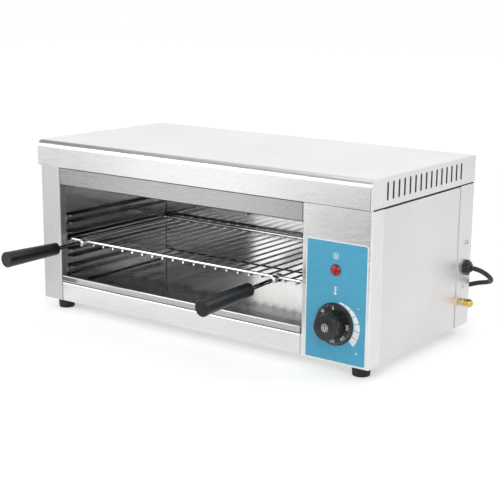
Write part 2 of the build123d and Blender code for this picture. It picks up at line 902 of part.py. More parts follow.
def make_control_knob():
    """Knob: tapered skirt, scalloped grip, hollow behind, bore with a flat."""
    skirt_r = skirt_diameter / 2
    skirt_front = knob_back - skirt_thickness
    front = panel_face - knob_height
    grip_r = knob_grip_diameter / 2
    front_r = knob_front_diameter / 2
    profile = make_face(
        Polyline(
            (0, knob_back),
            (skirt_r, knob_back),
            (skirt_r, knob_back - 1.5),
            (skirt_r - skirt_taper, skirt_front),
            (grip_r, skirt_front),
            (front_r, front),
            (0, front),
            close=True,
        )
    )
    profile = fillet(profile.vertices().sort_by_distance((front_r, front))[0], 1.2)
    knob = revolve(profile, Axis.Y)
    cut_radius = grip_r - scallop_depth + scallop_diameter / 2
    flute = rod_y(cut_radius, front - 1, skirt_front, 0, scallop_diameter)
    for i in range(knob_scallops):
        knob -= Rot(0, i * 360 / knob_scallops, 0) * flute
    recess_end = knob_back - knob_recess_depth
    knob -= rod_y(0, recess_end, knob_back + 1, 0, knob_recess_diameter)
    knob -= rod_y(0, front - 1, front + knob_cap_depth, 0, knob_cap_diameter + 2 * fit)
    knob -= shaft_solid(fit, front + 3 * knob_cap_depth, knob_back)
    return Pos(control_axis_x, 0, knob_z) * knob


def make_knob_cap():
    """Disc set into the knob's front, with a slot."""
    front = panel_face - knob_height
    cap = rod_y(0, front - 0.2, front + knob_cap_depth, 0, knob_cap_diameter)
    cap -= block(-0.6, 0.6, front - 1, front + 0.3, -3.2, 3.2)
    return Pos(control_axis_x, 0, knob_z) * cap


def make_thermostat_shaft():
    """Shaft that carries the knob and turns in the thermostat."""
    front = panel_face - knob_height + 3 * knob_cap_depth + fit
    shaft = shaft_solid(0, front, 0)
    shaft += rod_y(0, 0, panel_back + thermostat_depth / 2, 0, shaft_diameter)
    return Pos(control_axis_x, 0, knob_z) * shaft


def make_thermostat_body():
    """Thermostat behind the panel, with six connection tabs."""
    half_w = thermostat_width / 2
    half_h = thermostat_height / 2
    y0 = panel_back
    y1 = y0 + thermostat_depth
    body = block(-half_w, half_w, y0 + 2, y1, -half_h, half_h)
    body = fillet(body.edges().filter_by(Axis.Y), 5)
    body += block(-half_w, half_w, y0, y0 + 2, -half_h / 2, half_h / 2)
    for x in (-half_w / 2, 0, half_w / 2):
        for z in (-half_h / 2, half_h / 2):
            body += block(x - 0.4, x + 0.4, y1 - 1, y1 + 8, z - 3, z + 3)
    body -= rod_y(0, y0 - 1, y0 + thermostat_depth / 2 + 1, 0, shaft_diameter + 2 * fit)
    for x in thermostat_screw_places():
        body -= rod_y(x - control_axis_x, y0 - 1, y0 + 7, 0, screw_shank + 2 * fit)
    return Pos(control_axis_x, 0, knob_z) * body


def make_thermostat_screws():
    """Two screws that hold the thermostat, hidden under the knob's skirt."""
    return [
        screw_y(x, panel_face, knob_z, screw_head, -1, sheet + 5)
        for x in thermostat_screw_places()
    ]


def make_lamp_lens():
    """Red lens: low dome, rim on the label and a stem through the panel."""
    r = lens_diameter / 2
    stem_r = lamp_stem / 2
    crown = label_face - lens_height
    dome = ThreePointArc((0, crown), (0.62 * r, crown + 0.26 * lens_height), (r, label_face - 1))
    outline = Polyline(
        (r, label_face - 1), (r, label_face), (stem_r, label_face), (stem_r, panel_back + 3),
        (0, panel_back + 3), (0, crown),
    )
    lens = revolve(make_face([dome, *outline.edges()]), Axis.Y)
    return Pos(control_axis_x, 0, lamp_z) * lens


def make_lamp_body():
    """Lamp housing behind the panel with two tabs."""
    y0 = panel_back + 3
    y1 = panel_back + lamp_depth
    body = rod_y(0, y0, y1, 0, lamp_stem)
    for z in (-3, 3):
        body += block(-2.4, 2.4, y1 - 1, y1 + 7, z - 0.4, z + 0.4)
    return Pos(control_axis_x, 0, lamp_z) * body


def make_lamp_nut():
    """Ring nut that clamps the lamp from behind."""
    ring = rod_y(0, panel_back, panel_back + lamp_nut_thickness, 0, lamp_nut_diameter)
    ring -= rod_y(0, 0, panel_back + 2 * lamp_nut_thickness, 0, lamp_stem + 2 * fit)
    return Pos(control_axis_x, 0, lamp_z) * ring


def bulb_span():
    """X of the sensor bulb's two ends."""
    right = liner[1] - bulb_from_wall
    return right - bulb_length, right


def make_sensor_bulb():
    """Sensor bulb under the ceiling, ends rounded."""
    x0, x1 = bulb_span()
    bulb = rod_x(x0, x1, bulb_y, ceiling_underside - bulb_drop, bulb_diameter)
    return fillet(bulb.edges().filter_by(GeomType.CIRCLE), bulb_diameter / 2 - 0.4)


def make_capillary_tube():
    """Fine tube from the thermostat to the bulb, through the right wall."""
    z = ceiling_underside - bulb_drop
    start_y = panel_back + thermostat_depth
    x = control_axis_x - thermostat_width / 4
    path = FilletPolyline(
        (bulb_span()[1], bulb_y, z),
        (x, bulb_y, z),
        (x, start_y + capillary_loop, z),
        (x, start_y + capillary_loop, knob_z),
        (x, start_y, knob_z),
        radius=capillary_bend,
    )
    return tube(path, capillary_diameter)


def make_bulb_clips():
    """Two clips that hang the bulb under the ceiling."""
    z = ceiling_underside - bulb_drop
    x0, x1 = bulb_span()
    outer = bulb_diameter + 2 * liner_sheet
    clips = []
    for x in (x0 + bulb_length / 5, x1 - bulb_length / 5):
        ring = rod_x(x, x + clip_width, bulb_y, z, outer)
        stem = block(
            x, x + clip_width, bulb_y - liner_sheet / 2, bulb_y + liner_sheet / 2,
            z + bulb_diameter / 2, ceiling_underside,
        )
        clip = ring + stem
        clips.append(clip - rod_x(x - 1, x + clip_width + 1, bulb_y, z, bulb_diameter + 2 * fit))
    return clips


# ---------------------------------------------------------------- gland, terminals, stud


def make_cable_gland():
    """Black gland: hexagon on the strip, threaded neck inside, tapering nut outside."""
    x = casing_width
    nut_start = x + gland_flange
    end = x + gland_length
    body = hexagon((x, gland_y, gland_z), (1, 0, 0), gland_across, gland_flange)
    taper_plane = Plane(origin=(nut_start, gland_y, gland_z), z_dir=(1, 0, 0))
    nut = loft(
        [
            taper_plane * RegularPolygon(gland_nut_across / 2, 6, major_radius=False, rotation=30),
            taper_plane.offset(gland_length - gland_flange)
            * RegularPolygon(cord_diameter * 0.8, 6, major_radius=False, rotation=30),
        ]
    )
    dome = Pos(nut_start, gland_y, gland_z) * Rot(0, 90, 0) * Cone(
        gland_nut_across / 2 + 0.6, cord_diameter / 2 + 1.6, gland_length - gland_flange,
        align=(Align.CENTER, Align.CENTER, Align.MIN),
    )
    neck = rod_x(x - gland_inside, x, gland_y, gland_z, gland_thread)
    return body + (nut & rod_x(nut_start, end, gland_y, gland_z, gland_nut_across)) + dome + neck


def make_gland_locknut():
    """Nut on the gland's neck, inside the strip."""
    x0 = casing_width - sheet - 4
    nut = hexagon((x0, gland_y, gland_z), (1, 0, 0), gland_across - 1, 4)
    return nut - rod_x(x0 - 1, casing_width, gland_y, gland_z, gland_thread + 2 * fit)


def make_terminal_block():
    """Three-pole ceramic block on the floor pan."""
    x = casing_width - block_from_side
    z0 = casing_bottom + sheet
    width, length, height = block_size
    body = block(
        x - width / 2, x + width / 2, block_y - length / 2, block_y + length / 2, z0, z0 + height
    )
    body = chamfer(body.edges().filter_by(Axis.Y).group_by(Axis.Z)[-1], 3)
    for i in (-1, 0, 1):
        y = block_y + i * block_pole_pitch
        for dx in (-width / 4, width / 4):
            body -= rod_z(x + dx, y, z0 + height - 6, z0 + height + 1, 5)
        body -= rod_x(x - width, x + width, y, z0 + height / 2, 4)
    return body


def make_inner_lead():
    """Cord's tail from the gland's neck to the terminal block."""
    start_x = casing_width - gland_inside
    x = casing_width - block_from_side
    end_y = block_y + block_size[1] / 2
    end_z = casing_bottom + sheet + block_size[2] / 2
    path = FilletPolyline(
        (start_x, gland_y, gland_z),
        (x, gland_y, gland_z),
        (x, gland_y, end_z + lead_straight),
        (x, end_y + lead_straight, end_z),
        (x, end_y, end_z),
        radius=[lead_bend, lead_bend, 0.8 * lead_bend],
    )
    return tube(path, cord_diameter)


def make_earth_stud():
    """Brass bonding stud through the right rear strip."""
    x0 = casing_width - sheet - stud_nut_thickness - 2
    x1 = casing_width + 2 * stud_nut_thickness + stud_washer_thickness + cap_nut_length / 2
    return rod_x(x0, x1, stud_y, stud_z, stud_diameter)


def make_cap_nut(x):
    """Domed brass nut on the stud's end, from x outwards."""
    bar = hexagon((x, stud_y, stud_z), (1, 0, 0), stud_nut_across + 1, cap_nut_length)
    ball = Pos(x + cap_nut_length / 5, stud_y, stud_z) * Sphere(0.8 * cap_nut_length)
    bore = rod_x(x - 1, x + cap_nut_length / 2 + fit, stud_y, stud_z, stud_diameter + 2 * fit)
    return (bar & ball) - bore


def make_earth_nuts():
    """Brass nuts: one inside, one against the strip, one on the washer and the domed one."""
    outer_start = casing_width + stud_nut_thickness + stud_washer_thickness
    nuts = []
    for x in (casing_width - sheet - stud_nut_thickness, casing_width, outer_start):
        nut = hexagon((x, stud_y, stud_z), (1, 0, 0), stud_nut_across, stud_nut_thickness)
        ball = Pos(x + stud_nut_thickness / 2, stud_y, stud_z) * Sphere(0.64 * stud_nut_across)
        bore = rod_x(x - 1, x + stud_nut_thickness + 1, stud_y, stud_z, stud_diameter + 2 * fit)
        nuts.append((nut & ball) - bore)
    nuts.append(make_cap_nut(outer_start + stud_nut_thickness))
    return nuts


def make_earth_washer():
    """Steel washer between the two outer nuts."""
    x = casing_width + stud_nut_thickness
    disc = rod_x(x, x + stud_washer_thickness, stud_y, stud_z, stud_washer_diameter)
    return disc - rod_x(x - 1, x + 5, stud_y, stud_z, stud_diameter + 2 * fit)


# ---------------------------------------------------------------- cord, coil and plug


def route_line(points, names):
    """Straight runs joined by arcs as large as the runs beside them allow."""
    vectors = [Vector(*p) for p in points]
    radii = []
    for before, corner, after in zip(vectors, vectors[1:], vectors[2:]):
        run_in = corner - before
        run_out = after - corner
        turn = math.radians(run_in.get_angle(run_out))
        shorter = min(run_in.length, run_out.length)
        radii.append(cord_bend_share * shorter / math.tan(turn / 2))
    print(names, "radii", [round(r, 1) for r in radii])
    return FilletPolyline(*vectors, radius=radii)


def biarc(p0, t0, p1, t1):
    """Two arcs from p0 to p1 that leave along t0 and arrive along t1."""
    chord = p1 - p0
    both = t0 + t1
    spread = 2 * (1 - t0.dot(t1))
    along = chord.dot(both)
    reach = (math.sqrt(along * along + spread * chord.dot(chord)) - along) / spread
    joint = (p0 + p1 + (t0 - t1) * reach) * 0.5
    first = TangentArc(p0, joint, tangent=t0)
    second = TangentArc(joint, p1, tangent=first % 1)
    return [first, second]


coil_turns = 2 * coil_turns_per_layer + 0.5
coil_outer_radius = coil_inner_radius + coil_pitch * coil_turns_per_layer
gland_mouth = Vector(casing_width + gland_length, gland_y, gland_z)
coil_start = gland_mouth + Vector(*cord_route[-1])
coil_centre = coil_start + Vector(-cord_diameter, coil_outer_radius, 0)


def coil_point(turns):
    """Point of the coil's centre line: in on the lower layer, out on the upper one."""
    climbed = turns - coil_turns_per_layer
    if climbed <= 0:
        radius = coil_outer_radius - coil_pitch * turns
        rise = 0.0
    elif climbed < 0.5:
        radius = coil_inner_radius - coil_pitch * climbed * (1 - 2 * climbed)
        rise = 2 * climbed * coil_layer_step
    else:
        radius = coil_inner_radius + coil_pitch * (climbed - 0.5)
        rise = coil_layer_step
    angle = -math.pi / 2 - 2 * math.pi * turns
    return coil_centre + Vector(radius * math.cos(angle), radius * math.sin(angle), rise)


def coil_tangent(turns):
    """Direction of the coil's centre line, level and square at its two ends."""
    if turns in (0, coil_turns):
        return Vector(-1, 0, 0)
    step = 0.01
    return (coil_point(turns + step) - coil_point(turns - step)).normalized()


def make_cord_coil():
    """Spare cord wound into a neat coil of two layers, one unbroken tube."""
    quarters = int(4 * coil_turns)
    stations = [i / 4 for i in range(quarters + 1)]
    points = [coil_point(t) for t in stations]
    tangents = [coil_tangent(t) for t in stations]
    edges = [Line(points[0] + Vector(cord_diameter, 0, 0), points[0])]
    for i in range(quarters):
        edges += biarc(points[i], tangents[i], points[i + 1], tangents[i + 1])
    edges.append(Line(points[-1], points[-1] + Vector(-cord_diameter, 0, 0)))
    path = Wire(edges)
    report_self_gap(path)
    return tube(path, cord_diameter), path.length


def report_self_gap(path):
    """Print the least gap between two turns, measured on points of the centre line."""
    count = 700
    samples = [path @ (i / count) for i in range(count + 1)]
    apart = int(count * math.pi * coil_inner_radius / path.length)
    least = min(
        (samples[i] - samples[j]).length
        for i in range(count)
        for j in range(i + apart, count + 1)
    )
    print("coil: least self-gap", round(least - cord_diameter, 2))


def make_power_cord():
    """Free stretch of the cord from the gland to the coil."""
    points = [gland_mouth + Vector(*p) for p in cord_route]
    path = route_line(points, "power_cord")
    return tube(path, cord_diameter), path.length


def lead_points():
    """Route from the coil's end to the plug."""
    start = coil_point(coil_turns) + Vector(-cord_diameter, 0, 0)
    return [start + Vector(*p) for p in lead_route]


def make_plug_lead():
    """Short stretch from the coil to the plug."""
    path = route_line(lead_points(), "plug_lead")
    return tube(path, cord_diameter), path.length


def plug_location():
    """Cord entry of the plug, X along the plug, on the worktop."""
    points = lead_points()
    run = points[-1] - points[-2]
    heading = math.degrees(math.atan2(run.Y, run.X))
    return Pos(points[-1].X, points[-1].Y, 0) * Rot(0, 0, heading)


def make_mains_plug():
    """Moulded plug lying on its back, with a tapered relief for the cord."""
    entry_z = coil_point(coil_turns).Z
    x0 = plug_relief_length
    body = block(
        x0, x0 + plug_length, -plug_width / 2, plug_width / 2, 0, plug_thickness
    )
    body = fillet(body.edges().filter_by(Axis.Z), 3 * plug_base_radius)
    body = fillet(body.edges().group_by(Axis.Z)[-1], 1.5)
    body = chamfer(body.edges().group_by(Axis.Z)[0], 3)
    relief = Pos(0, 0, entry_z) * Rot(0, 90, 0) * Cone(
        cord_diameter / 2 + 1, plug_relief_diameter / 2, plug_relief_length + 2,
        align=(Align.CENTER, Align.CENTER, Align.MIN),
    )
    plug = body + relief
    for centre, size in pin_places():
        socket = block(
            centre[0] - size[0] / 2, centre[0] + size[0] / 2,
            centre[1] - size[1] / 2, centre[1] + size[1] / 2,
            plug_thickness - 5, plug_thickness + 1,
        )
        plug -= socket
    return plug_location() * plug


def pin_places():
    """Centre and section of each pin, in the plug's own frame."""
    x_live = plug_relief_length + pin_from_entry
    width, depth, _ = live_pin
    return [
        ((x_live, -pin_spacing / 2), (depth, width)),
        ((x_live, pin_spacing / 2), (depth, width)),
        ((x_live + pin_spacing, 0), (earth_pin[1], earth_pin[0])),
    ]


def make_plug_pins():
    """Three flat brass pins, standing up from the plug."""
    lengths = (live_pin[2], live_pin[2], earth_pin[2])
    pins = []
    for (centre, size), length in zip(pin_places(), lengths):
        pin = block(
            centre[0] - size[0] / 2, centre[0] + size[0] / 2,
            centre[1] - size[1] / 2, centre[1] + size[1] / 2,
            plug_thickness - 5, plug_thickness + length,
        )
        pin = chamfer(pin.edges().group_by(Axis.Z)[-1], 0.8)
        pins.append(plug_location() * pin)
    return pins


def make_cord_tie():
    """Flat band round all turns of the coil, on the side away from the casing."""
    gap = cord_diameter / 2 + tie_gap
    inner_y = coil_centre.Y + coil_inner_radius - coil_pitch / 4 - gap
    outer_y = coil_centre.Y + coil_outer_radius + gap
    low = coil_centre.Z - gap
    high = coil_centre.Z + coil_layer_step + gap
    x0 = coil_centre.X - tie_width / 2
    x1 = coil_centre.X + tie_width / 2
    t = tie_thickness
    outer = block(x0, x1, inner_y - t, outer_y + t, low - t, high + t)
    outer = fillet(outer.edges().filter_by(Axis.X), gap)
    inner = block(x0 - 1, x1 + 1, inner_y, outer_y, low, high)
    return outer - fillet(inner.edges().filter_by(Axis.X), gap - t)


# ---------------------------------------------------------------- assembly and export


def make_object():
    """All nodes of the object itself, without its cord."""
    nodes = {
        "top_cover": make_top_cover(),
        "lid_spacers": make_lid_spacers(),
        "lid_screws": make_lid_screws(),
        "left_side_panel": make_left_side_panel(),
        "right_side_panel": make_right_side_panel(),
        "back_panel": make_back_panel(),
        "base_panel": make_base_panel(),
        "header_rail": make_header_rail(),
        "bottom_rail": make_bottom_rail(),
        "control_panel": make_control_panel(),
        "rubber_feet": make_rubber_feet(),
        "foot_screws": make_foot_screws(),
        "casing_screws": make_casing_screws(),
        "left_cavity_wall": make_cavity_wall("left"),
        "right_cavity_wall": make_cavity_wall("right"),
        "left_runners": make_runners("left"),
        "right_runners": make_runners("right"),
        "cavity_back_wall": make_cavity_back_wall(),
        "cavity_floor": make_cavity_floor(),
        "cavity_ceiling": make_cavity_ceiling(),
        "front_heating_element": make_heating_element(front_element_y),
        "rear_heating_element": make_heating_element(rear_element_y),
        "element_hangers": make_element_hangers(),
        "rack_frame": make_rack_frame(),
        "rack_cross_wires": make_cross_wires(),
        "drip_tray": make_drip_tray(),
        "panel_label": make_panel_label(),
        "control_knob": make_control_knob(),
        "knob_cap": make_knob_cap(),
        "thermostat_shaft": make_thermostat_shaft(),
        "thermostat_body": make_thermostat_body(),
        "thermostat_screws": make_thermostat_screws(),
        "lamp_lens": make_lamp_lens(),
        "lamp_body": make_lamp_body(),
        "lamp_nut": make_lamp_nut(),
        "sensor_bulb": make_sensor_bulb(),
        "capillary_tube": make_capillary_tube(),
        "bulb_clips": make_bulb_clips(),
        "cable_gland": make_cable_gland(),
        "gland_locknut": make_gland_locknut(),
        "terminal_block": make_terminal_block(),
        "inner_lead": make_inner_lead(),
        "earth_stud": make_earth_stud(),
        "earth_nuts": make_earth_nuts(),
        "earth_washer": make_earth_washer(),
    }
    handle_parts = make_handle_parts()
    for side in handles:
        for name, piece in handle_parts.items():
            nodes[side + "_" + name] = place_handle(piece, side)
        x = handles[side][0]
        bore = rod_x(x - eye_width, x + eye_width, rack_front, rack_z, frame_wire + 2 * fit)
        nodes[side + "_handle_clamp"] -= bore
    return nodes


def make_cord():
    """All nodes of the cord, with the length and volume of each tube printed."""
    nodes = {}
    total = 0.0
    section = math.pi * cord_diameter**2 / 4
    for name, make in (
        ("power_cord", make_power_cord),
        ("cord_coil", make_cord_coil),
        ("plug_lead", make_plug_lead),
    ):
        solid, length = make()
        nodes[name] = solid
        total += length
        share = solid.volume / (section * length)
        print(name, "length", round(length, 1), "volume over section times length", round(share, 4))
    print("cord: whole length", round(total, 1))
    nodes["cord_tie"] = make_cord_tie()
    nodes["mains_plug"] = make_mains_plug()
    nodes["plug_pins"] = make_plug_pins()
    return nodes


def as_shape(piece):
    """One shape for a node of one or several solids."""
    return Compound(children=piece) if isinstance(piece, list) else piece


def main():
    """Build every node, centre the object on the origin and write the STEP files."""
    os.makedirs("parts", exist_ok=True)
    own = {name: as_shape(piece) for name, piece in make_object().items()}
    cord = {name: as_shape(piece) for name, piece in make_cord().items()}
    boxes = [shape.bounding_box() for shape in own.values()]
    centre_x = (min(b.min.X for b in boxes) + max(b.max.X for b in boxes)) / 2
    centre_y = (min(b.min.Y for b in boxes) + max(b.max.Y for b in boxes)) / 2
    print("bench origin to object origin", round(centre_x, 3), round(centre_y, 3))
    for name, shape in {**own, **cord}.items():
        export_step(Pos(-centre_x, -centre_y, 0) * shape, os.path.join("parts", name + ".step"))


if __name__ == "__main__":
    main()
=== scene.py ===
import logging
import math
from dataclasses import dataclass, field
from enum import Enum

import bmesh
import bpy
from mathutils import Matrix, Vector


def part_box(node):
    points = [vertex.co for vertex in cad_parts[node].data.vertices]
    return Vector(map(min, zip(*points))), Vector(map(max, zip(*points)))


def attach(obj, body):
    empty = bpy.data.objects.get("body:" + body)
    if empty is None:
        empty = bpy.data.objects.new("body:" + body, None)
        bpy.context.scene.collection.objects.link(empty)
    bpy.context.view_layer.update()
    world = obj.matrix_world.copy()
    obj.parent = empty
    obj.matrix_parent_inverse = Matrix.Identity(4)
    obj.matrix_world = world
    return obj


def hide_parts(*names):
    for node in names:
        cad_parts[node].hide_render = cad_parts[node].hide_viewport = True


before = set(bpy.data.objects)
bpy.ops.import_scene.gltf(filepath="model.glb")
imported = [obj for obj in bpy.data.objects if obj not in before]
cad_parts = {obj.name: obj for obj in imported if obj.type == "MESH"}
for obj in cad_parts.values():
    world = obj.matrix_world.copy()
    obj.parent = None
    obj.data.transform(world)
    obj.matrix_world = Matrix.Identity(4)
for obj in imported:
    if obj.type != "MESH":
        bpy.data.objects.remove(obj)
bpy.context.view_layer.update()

LOG = logging.getLogger("salamander")

Colour = tuple[float, float, float]
Point = tuple[float, float, float]
FlatPoint = tuple[float, float]
Ramp = list[tuple[float, Colour]]
Socket = bpy.types.NodeSocket

NOISE_MIDDLE: FlatPoint = (0.3, 0.7)
EVEN: Point = (1.0, 1.0, 1.0)
WHITE = (*EVEN, 1.0)
RING_POINTS = 36


class Body(Enum):
    """The rigid bodies that carry the added pieces."""

    CASING = "casing"
    KNOB = "knob"


class Grain(Enum):
    """Direction in which a sheet was brushed, as stretch factors along X, Y and Z."""

    LENGTHWISE = (0.012, 1.0, 1.0)
    FRONT_TO_BACK = (1.0, 0.012, 1.0)
    UPRIGHT = (1.0, 1.0, 0.012)


class Facing(Enum):
    """Side of the casing that a small flat piece looks to."""

    FRONT = (0.0, -1.0, 0.0)
    BACK = (0.0, 1.0, 0.0)
    RIGHT = (1.0, 0.0, 0.0)
    LEFT = (-1.0, 0.0, 0.0)
    UP = (0.0, 0.0, 1.0)


# ---- finishes


class NodeTree:
    """A node tree with short methods for the nodes that this scene uses."""

    def __init__(self, tree: bpy.types.NodeTree) -> None:
        """Work on the tree of a material or a world."""
        self.tree = tree

    def add(self, kind: str, **settings: object) -> bpy.types.Node:
        """Add a node.

        Args:
            kind: Blender's name of the node's type, without its ShaderNode prefix.
            settings: properties of the node.

        Returns:
            The new node.
        """
        node = self.tree.nodes.new("ShaderNode" + kind)
        for key, value in settings.items():
            setattr(node, key, value)
        return node

    def join(self, output: Socket, target: Socket) -> None:
        """Link an output socket to an input socket."""
        self.tree.links.new(output, target)

    def math(self, operation: str, *terms: Socket | float) -> Socket:
        """Combine values.

        Args:
            operation: Blender's name of the way to do it.
            terms: sockets to link and numbers to set, in order.

        Returns:
            The socket that carries the result.
        """
        node = self.add("Math", operation=operation)
        for term, target in zip(terms, node.inputs):
            if isinstance(term, float):
                target.default_value = term
            else:
                self.join(term, target)
        return node.outputs[0]

    def place(self, stretch: Point = EVEN) -> Socket:
        """Coordinates in the object's own frame, stretched.

        Args:
            stretch: factors along X, Y and Z.

        Returns:
            The socket that carries the coordinates.
        """
        source = self.add("TexCoord")
        mapping = self.add("Mapping")
        mapping.inputs["Scale"].default_value = stretch
        self.join(source.outputs["Object"], mapping.inputs["Vector"])
        return mapping.outputs["Vector"]

    def noise(self, scale: float, detail: float, stretch: Point = EVEN) -> Socket:
        """Noise between 0 and 1 in the object's own frame.

        Args:
            scale: waves per metre.
            detail: number of finer octaves.
            stretch: factors along X, Y and Z.

        Returns:
            The socket that carries the noise.
        """
        node = self.add("TexNoise")
        node.inputs["Scale"].default_value = scale
        node.inputs["Detail"].default_value = detail
        self.join(self.place(stretch), node.inputs["Vector"])
        return node.outputs["Fac"]

    def spread(self, source: Socket, start: FlatPoint, end: FlatPoint) -> Socket:
        """Map one range of values to another.

        Args:
            source: the value; beyond its range it is held at the nearer end.
            start: low and high end of its range.
            end: what they become.

        Returns:
            The socket that carries the new value.
        """
        node = self.add("MapRange")
        for key, value in zip(("From Min", "From Max", "To Min", "To Max"), (*start, *end)):
            node.inputs[key].default_value = value
        self.join(source, node.inputs["Value"])
        return node.outputs["Result"]

    def ramp(self, source: Socket, stops: Ramp) -> Socket:
        """Colour ramp.

        Args:
            source: position on the ramp.
            stops: positions with their colours.

        Returns:
            The socket that carries the colour.
        """
        node = self.add("ValToRGB")
        elements = node.color_ramp.elements
        while len(elements) < len(stops):
            elements.new(1.0)
        for element, (position, colour) in zip(elements, stops):
            element.position = position
            element.color = (*colour, 1.0)
        self.join(source, node.inputs["Fac"])
        return node.outputs["Color"]

    def path(self, kind: str) -> Socket:
        """One kind of ray, as Light Path names it."""
        return self.add("LightPath").outputs[kind]

    def seen_rays(self) -> Socket:
        """1 for what the camera sees, straight or in gloss or through glass, otherwise 0."""
        total = self.path("Is Camera Ray")
        for kind in ("Is Glossy Ray", "Is Transmission Ray"):
            total = self.math("MAXIMUM", total, self.path(kind))
        return total

    def part_of(self, source: Socket, axis: str) -> Socket:
        """One coordinate of a vector, by its letter."""
        parts = self.add("SeparateXYZ")
        self.join(source, parts.inputs[0])
        return parts.outputs[axis]


class NodeGraph(NodeTree):
    """One material's node tree."""

    def __init__(self, name: str) -> None:
        """Start a material that holds only its Principled shader.

        Args:
            name: name of the new material.
        """
        self.material = bpy.data.materials.new(name)
        self.material.use_nodes = True
        super().__init__(self.material.node_tree)
        self.shader = self.tree.nodes["Principled BSDF"]

    def feed(self, **sources: Socket) -> None:
        """Link sockets to the shader's own ones; underscores stand for spaces."""
        for key, source in sources.items():
            self.join(source, self.shader.inputs[key.replace("_", " ")])

    def set(self, **values: object) -> None:
        """Set plain values on the shader's own sockets; underscores stand for spaces."""
        for key, value in values.items():
            self.shader.inputs[key.replace("_", " ")].default_value = value

    def end_with(self, output: Socket) -> None:
        """Let another shader than the Principled one be the material's surface."""
        self.join(output, self.tree.nodes["Material Output"].inputs["Surface"])


@dataclass(frozen=True)
class Finish:
    """What every finish has; each kind adds its own texture.

    The slot is the record's. The colour goes from the first tone to the second between the two
    ends of a noise. The bump has a depth in metres, and its strength is the share that shows.
    """

    name: str
    colour: Colour
    roughness: float
    slot: str
    ends: FlatPoint = NOISE_MIDDLE
    tones: FlatPoint = (1.0, 1.0)
    depth: float = 0.00001
    strength: float = 0.5

    def material(self) -> bpy.types.Material:
        """The finish's material, made on first use."""
        return bpy.data.materials.get(self.name) or self.build()

    def build(self) -> bpy.types.Material:
        """Build the material with the texture of its kind."""
        graph = NodeGraph(self.name)
        graph.set(Roughness=self.roughness)
        self.texture(graph)
        return graph.material

    def texture(self, graph: NodeGraph) -> None:
        """Add the nodes of this kind of finish."""
        raise NotImplementedError

    def tint(self, graph: NodeGraph, source: Socket) -> None:
        """Shade the colour from the first tone to the second, along a socket."""
        shades = [tuple(min(1.0, c * tone) for c in self.colour) for tone in self.tones]
        graph.feed(Base_Color=graph.ramp(source, list(zip(self.ends, shades))))

    def emboss(self, graph: NodeGraph, height: Socket) -> None:
        """Give the shader a normal bumped by a height between 0 and 1."""
        node = graph.add("Bump")
        node.inputs["Distance"].default_value = self.depth
        node.inputs["Strength"].default_value = self.strength
        graph.join(height, node.inputs["Height"])
        graph.feed(Normal=node.outputs["Normal"])

    def roughen(self, graph: NodeGraph, source: Socket, reach: FlatPoint) -> None:
        """Let the roughness follow a noise through a range of values."""
        graph.feed(Roughness=graph.spread(source, NOISE_MIDDLE, reach))

    def dress(self, piece: bpy.types.Object) -> None:
        """Put the finish on an object in place of what it had."""
        piece.data.materials.clear()
        piece.data.materials.append(self.material())


@dataclass(frozen=True)
class BrushedSteel(Finish):
    """Stainless sheet with fine brush lines and a few soft smears."""

    ends: FlatPoint = (0.36, 0.64)
    tones: FlatPoint = (0.95, 1.05)
    depth: float = 0.000009
    grain: Grain = Grain.LENGTHWISE
    end_grain: Grain = Grain.UPRIGHT
    line_scale: float = 2400.0
    line_share: float = 0.55
    cloud_scale: float = 7.0
    rough_range: FlatPoint = (0.85, 1.2)

    def texture(self, graph: NodeGraph) -> None:
        """Brush lines in colour, roughness and height, turned on the faces that look along X."""
        lines = self.lines(graph)
        clouds = graph.noise(self.cloud_scale, 2.0)
        smears = graph.math("MULTIPLY", clouds, 1.0 - self.line_share)
        self.tint(graph, graph.math("MULTIPLY_ADD", lines, self.line_share, smears))
        low, high = self.rough_range
        self.roughen(graph, lines, (self.roughness * low, self.roughness * high))
        self.emboss(graph, lines)
        graph.set(Metallic=1.0)

    def lines(self, graph: NodeGraph) -> Socket:
        """Brush lines along the sheet, and along the end grain where a face looks along X.

        Args:
            graph: the material's node tree.

        Returns:
            The socket that carries the lines.
        """
        along = graph.noise(self.line_scale, 3.0, self.grain.value)
        across = graph.noise(self.line_scale, 3.0, self.end_grain.value)
        sideways = graph.part_of(graph.add("TexCoord").outputs["Normal"], "X")
        end = graph.spread(graph.math("ABSOLUTE", sideways), NOISE_MIDDLE, (-1.0, 1.0))
        pick = graph.add("Mix", data_type="FLOAT")
        for source, target in zip((end, along, across), (0, 2, 3)):
            graph.join(source, pick.inputs[target])
        return pick.outputs[0]


@dataclass(frozen=True)
class BrightMetal(Finish):
    """Smooth plated or turned metal with faint waves and specks."""

    tones: FlatPoint = (0.93, 1.05)
    depth: float = 0.000004
    strength: float = 0.3
    speck_scale: float = 260.0
    rough_range: FlatPoint = (0.8, 1.3)

    def texture(self, graph: NodeGraph) -> None:
        """Slight changes of colour and roughness over a polished metal."""
        specks = graph.noise(self.speck_scale, 2.0)
        self.tint(graph, specks)
        low, high = self.rough_range
        self.roughen(graph, specks, (self.roughness * low, self.roughness * high))
        self.emboss(graph, specks)
        graph.set(Metallic=1.0)


@dataclass(frozen=True)
class HeatedSheath(Finish):
    """Element sheath, darkened and tinted by heat."""

    depth: float = 0.00002
    patch_scale: float = 45.0
    grain_scale: float = 1500.0
    straw: Colour = (0.16, 0.12, 0.09)
    blue: Colour = (0.1, 0.11, 0.14)

    def texture(self, graph: NodeGraph) -> None:
        """Dark oxide with patches of straw and blue."""
        patches = graph.noise(self.patch_scale, 3.0)
        stops = [(0.35, self.colour), (0.55, self.straw), (0.7, self.blue)]
        graph.feed(Base_Color=graph.ramp(patches, stops))
        self.emboss(graph, graph.noise(self.grain_scale, 2.0))
        graph.set(Metallic=0.7)


